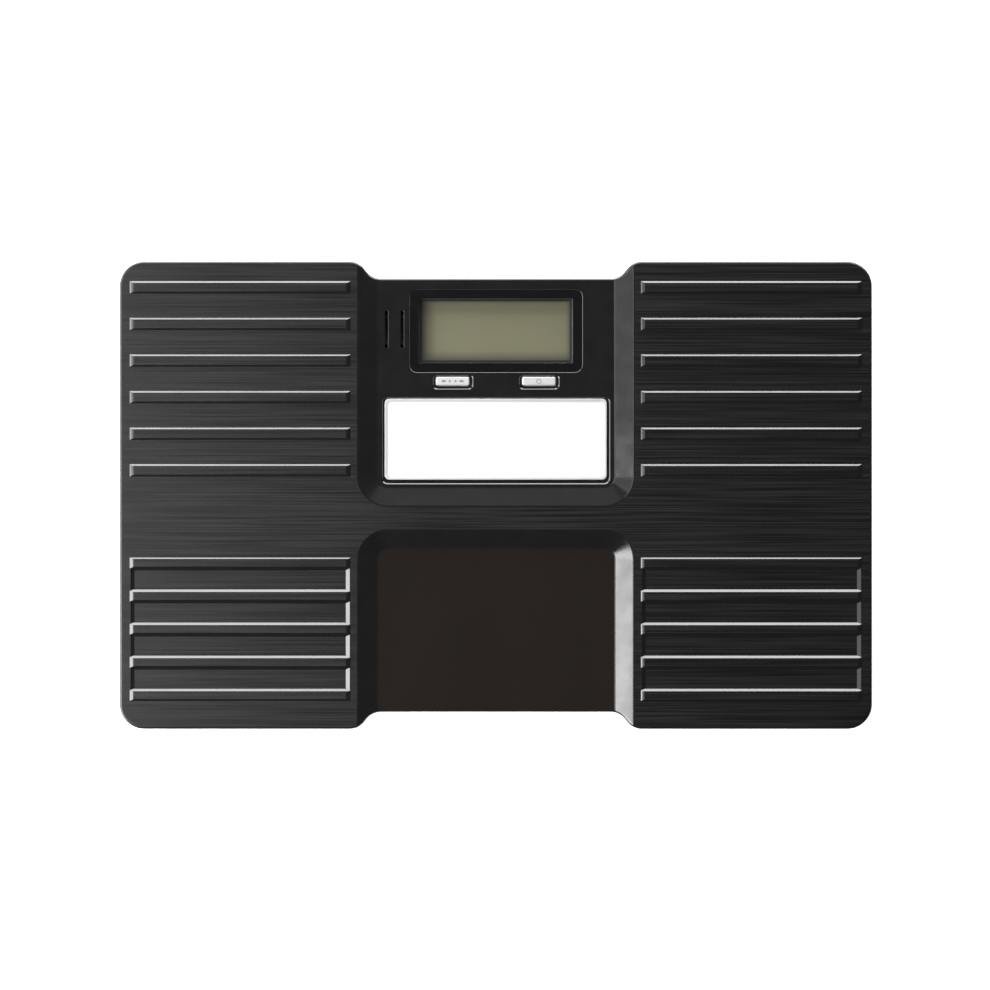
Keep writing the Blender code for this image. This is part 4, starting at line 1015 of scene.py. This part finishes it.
def plate_white():
    """White plastic, with painted shade that greys it up the slope to its rim."""
    look, tree, shader = new_look("plate_white", grey(0.74), 0.32)
    rim = node_box("name_plate")[1].z * MM
    # painted shade: the colour darkens from the flat face up the dish's slope to the rim
    depth = spread(tree, own_axis(tree, "Z"), rim, rim - DISH_DEPTH * MM, 0.0, 1.0)
    grain = stretched_noise(tree, 1100, 3.0, 0.6)
    share = reckon(tree, "POWER", depth, 2.0)
    colour = between(tree, share, (0.37, 0.37, 0.375), grey(0.74))
    feed(tree, shader, Base_Color=colour, Roughness=spread(tree, grain, 0.3, 0.7, 0.28, 0.38))
    bump(tree, shader, grain, 0.2, 0.00001)
    return look


def lcd_film():
    """The grey-green of an unlit reflective display, with painted shade along its edges, most at its left.
    """
    look, tree, shader = new_look("lcd_film", (0.2, 0.19, 0.12), 0.3)
    x, y, width, depth = (value * MM for value in node_rectangle("lcd_panel"))
    left, right, low, high = x - width / 2, x + width / 2, y - depth / 2, y + depth / 2
    # painted shadow of the frame: the colour darkens towards each edge of the film, most at the left
    shade = 1.0
    for axis, start, end in (
        ("X", left + 0.001, left + 0.014), ("X", right - 0.001, right - 0.006),
        ("Y", low + 0.001, low + 0.010), ("Y", high + 0.001, high - 0.006),
    ):
        share = spread(tree, own_axis(tree, axis), start, end, 0.0, 1.0)
        shade = reckon(tree, "MULTIPLY", share, shade)
    speck = stretched_noise(tree, 2600, 1.0, 0.5)
    cloud = stretched_noise(tree, (30, 40, 40), 2.0, 0.5)
    mixed = spread(tree, reckon(tree, "ADD", speck, cloud), 0.6, 1.4, -0.08, 0.08)
    both = reckon(tree, "ADD", shade, mixed, use_clamp=True)
    feed(tree, shader, Base_Color=between(tree, both, (0.055, 0.054, 0.041), (0.166, 0.160, 0.100)))
    bump(tree, shader, speck, 0.08, 0.00001)
    return look


def silver_key():
    look, tree, shader = new_look("silver_key", (0.42, 0.42, 0.43), 0.3, 0.15)
    flake = stretched_noise(tree, 5000, 1.0, 0.5)
    colour = between(tree, flake, (0.33, 0.33, 0.335), (0.52, 0.52, 0.53))
    feed(tree, shader, Base_Color=colour, Roughness=spread(tree, flake, 0.3, 0.7, 0.24, 0.36))
    bump(tree, shader, flake, 0.1, 0.00001)
    return look


def masked(tree, axis, low, high):
    """0 to 1 as a place goes from low to high along one axis, in millimetres from the middle."""
    away = reckon(tree, "ABSOLUTE", own_axis(tree, axis))
    return spread(tree, away, low * MM, high * MM, 0.0, 1.0)


def battery_jacket():
    """A printed sleeve with a plain band, and bare metal at the ends."""
    look, tree, shader = new_look("battery_jacket", (0.05, 0.09, 0.16), 0.3)
    half = node_rectangle("battery_1")[2] / 2
    scuff = stretched_noise(tree, 300, 3.0, 0.6)
    sleeve = between(tree, scuff, (0.035, 0.07, 0.14), (0.05, 0.10, 0.19))
    band = masked(tree, "X", half - 11.0, half - 10.9)
    printed = between(tree, band, sleeve, (0.62, 0.60, 0.55))
    bare = masked(tree, "X", half - 2.0, half - 1.9)
    whole = between(tree, bare, printed, (0.70, 0.69, 0.67))
    rough = spread(tree, scuff, 0.3, 0.7, 0.24, 0.38)
    feed(tree, shader, Base_Color=whole, Metallic=bare, Roughness=rough)
    bump(tree, shader, scuff, 0.15, 0.00003)
    return look


def board_green():
    """Solder mask over copper tracks."""
    look, tree, shader = new_look("board_green", (0.02, 0.12, 0.05), 0.35)
    values = {"Scale": 260.0, "Mortar Size": 0.05, "Brick Width": 3.0, "Row Height": 0.4}
    tracks = add_node(tree, "ShaderNodeTexBrick", {"Vector": own_place(tree), **values}).outputs["Fac"]
    cloud = stretched_noise(tree, 120, 2.0, 0.5)
    blocks = spread(tree, cloud, 0.48, 0.52, 0.0, 1.0)
    share = reckon(tree, "MULTIPLY", tracks, blocks)
    colour = between(tree, share, (0.012, 0.09, 0.035), (0.05, 0.22, 0.07))
    feed(tree, shader, Base_Color=colour, Roughness=spread(tree, cloud, 0.3, 0.7, 0.28, 0.4))
    bump(tree, shader, share, 0.4, 0.00003)
    return look


# ---- Stage ----
STAGE_SIZE = 30  # metres
STAGE_DROP = 0.0005  # a gap under the pads, in metres
STAGE_GLOW = 0.8
WORLD_STRENGTH = 0.12


def floor():
    bpy.ops.mesh.primitive_plane_add(size=STAGE_SIZE, location=(0, 0, -STAGE_DROP))
    made = bpy.context.object
    made.name = "studio_floor"
    look, tree, shader = new_look("studio_white", grey(0.9), 0.6)
    paper = stretched_noise(tree, 40, 2.0, 0.5)
    feed(tree, shader, Base_Color=between(tree, paper, grey(0.88), grey(0.92)))
    shader.inputs["Emission Color"].default_value = (1, 1, 1, 1)
    shader.inputs["Emission Strength"].default_value = STAGE_GLOW
    made.data.materials.append(look)


def panel(name, centre, towards, width, height, radiance):
    """A softbox: a rectangle of even light that faces a direction."""
    data = bpy.data.lights.new(name, "AREA")
    data.shape = "RECTANGLE"
    data.size, data.size_y = width, height
    data.energy = radiance * math.pi * width * height
    made = placed(name, data)
    made.location = centre
    made.rotation_euler = Vector(towards).to_track_quat("-Z", "Y").to_euler()


def lights():
    right, forward = (1, 0, 0), (0, -1, 0)
    panel("left_front_softbox", (-0.8, -0.34, 0.86), right, 0.64, 0.80, 14)
    panel("left_top_softbox", (-0.62, 0.05, 1.5), (0.3, 0, -1), 1.1, 0.5, 2.0)
    panel("left_rear_softbox", (-0.8, 0.25, 1.06), right, 0.54, 0.40, 1.1)
    panel("left_rear_low_softbox", (-0.8, 0.25, 0.66), right, 0.54, 0.40, 5)
    panel("left_strip", (-0.8, -0.05, 0.24), right, 1.2, 0.44, 9)
    panel("rear_strip", (0, 0.85, 0.20), forward, 1.8, 0.50, 12.5)
    panel("rear_fill", (0, 0.85, 1.00), forward, 1.8, 0.80, 0.4)
    world = bpy.data.worlds.new("studio")
    world.use_nodes = True
    background = world.node_tree.nodes["Background"]
    background.inputs["Color"].default_value = (0.95, 0.97, 1.0, 1)
    background.inputs["Strength"].default_value = WORLD_STRENGTH
    bpy.context.scene.world = world


PICTURE_WIDTH = 0.7362  # metres across the picture, at the platform
CAMERA_X, CAMERA_Y, CAMERA_DISTANCE = -0.00056, 0.00019, 5.0
SENSOR = 36.0


def camera():
    data = bpy.data.cameras.new("camera")
    data.sensor_width = SENSOR
    data.lens = SENSOR * CAMERA_DISTANCE / PICTURE_WIDTH
    data.clip_end = 50
    made = placed("camera", data)
    made.location = (CAMERA_X, CAMERA_Y, PLATEAU_Z * MM + CAMERA_DISTANCE)
    bpy.context.scene.camera = made


bpy.context.scene.view_settings.view_transform = "Standard"
camera()
floor()
lights()

raw = raw_black()
top_cover([hairline_black(), gloss_black(), tray_black(), raw])
housing_black = moulded("housing_black", (0.02, 0.02, 0.021), 0.5)
bottom_housing([housing_black, raw])
battery_door([moulded("door_black", (0.024, 0.024, 0.025), 0.48), raw])
border_black = moulded("border_black", grey(0.003), 0.1, 0.004, 0.00002)
lens([border_black, clear_window()])
display_frame([
    moulded("frame_black", grey(0.008), 0.45),
    moulded("frame_line", (0.06, 0.06, 0.062), 0.3),
])
lcd([moulded("lcd_glass", (0.10, 0.11, 0.10), 0.2), lcd_film()])
silver, ink = silver_key(), moulded("key_ink", (0.15, 0.15, 0.16), 0.5)
dots = [bar_mark(x, 0, width, 1.7) for x, width in ((-6.6, 3.4), (-2.2, 1.7), (2.2, 1.7), (6.6, 3.4))]
button("mode", dots, silver, ink)
button("on", [ring_mark(1.9, 0.55, 35), bar_mark(0, 1.2, 0.55, 1.9)], silver, ink)
name_plate(plate_white())
feet(moulded("foot_grey", (0.11, 0.11, 0.115), 0.45), moulded("pad_rubber", (0.035, 0.035, 0.036), 0.8))
nickel = metal("contact_nickel", (0.68, 0.66, 0.62), 0.28)
switch_black = moulded("switch_black", grey(0.03), 0.4)
dressed(battery_jacket(), r"battery_\d")
dressed(nickel, "battery_terminal_.*", 0.12)
dressed(nickel, "battery_spring_.*")
dressed(moulded("lead_sheath", (0.26, 0.26, 0.27), 0.5), ".*_lead.*")
dressed(metal("screw_steel", (0.42, 0.42, 0.44), 0.3, (400, 400, 60)), "housing_screw_.*", 0.1)
dressed(metal("plate_steel", (0.55, 0.56, 0.57), 0.38), "stiffener_.*", 0.15)
dressed(metal("cell_steel", (0.62, 0.62, 0.63), 0.3, (60, 900, 900)), "load_cell_.*", 0.2)
dressed(moulded("carrier_white", (0.68, 0.68, 0.66), 0.5), "cell_carrier_.*", 0.25)
dressed(board_green(), "main_pcb", 0.1)
dressed(switch_black, ".*_switch", 0.15)
dressed(moulded("stem_white", (0.7, 0.7, 0.69), 0.4), ".*_switch_stem")
dressed(moulded("speaker_metal", (0.02, 0.02, 0.021), 0.5), "speaker", 0.15)
dressed(moulded("cone_paper", grey(0.006), 0.9, 0.0003, 0.00006), "speaker_cone")
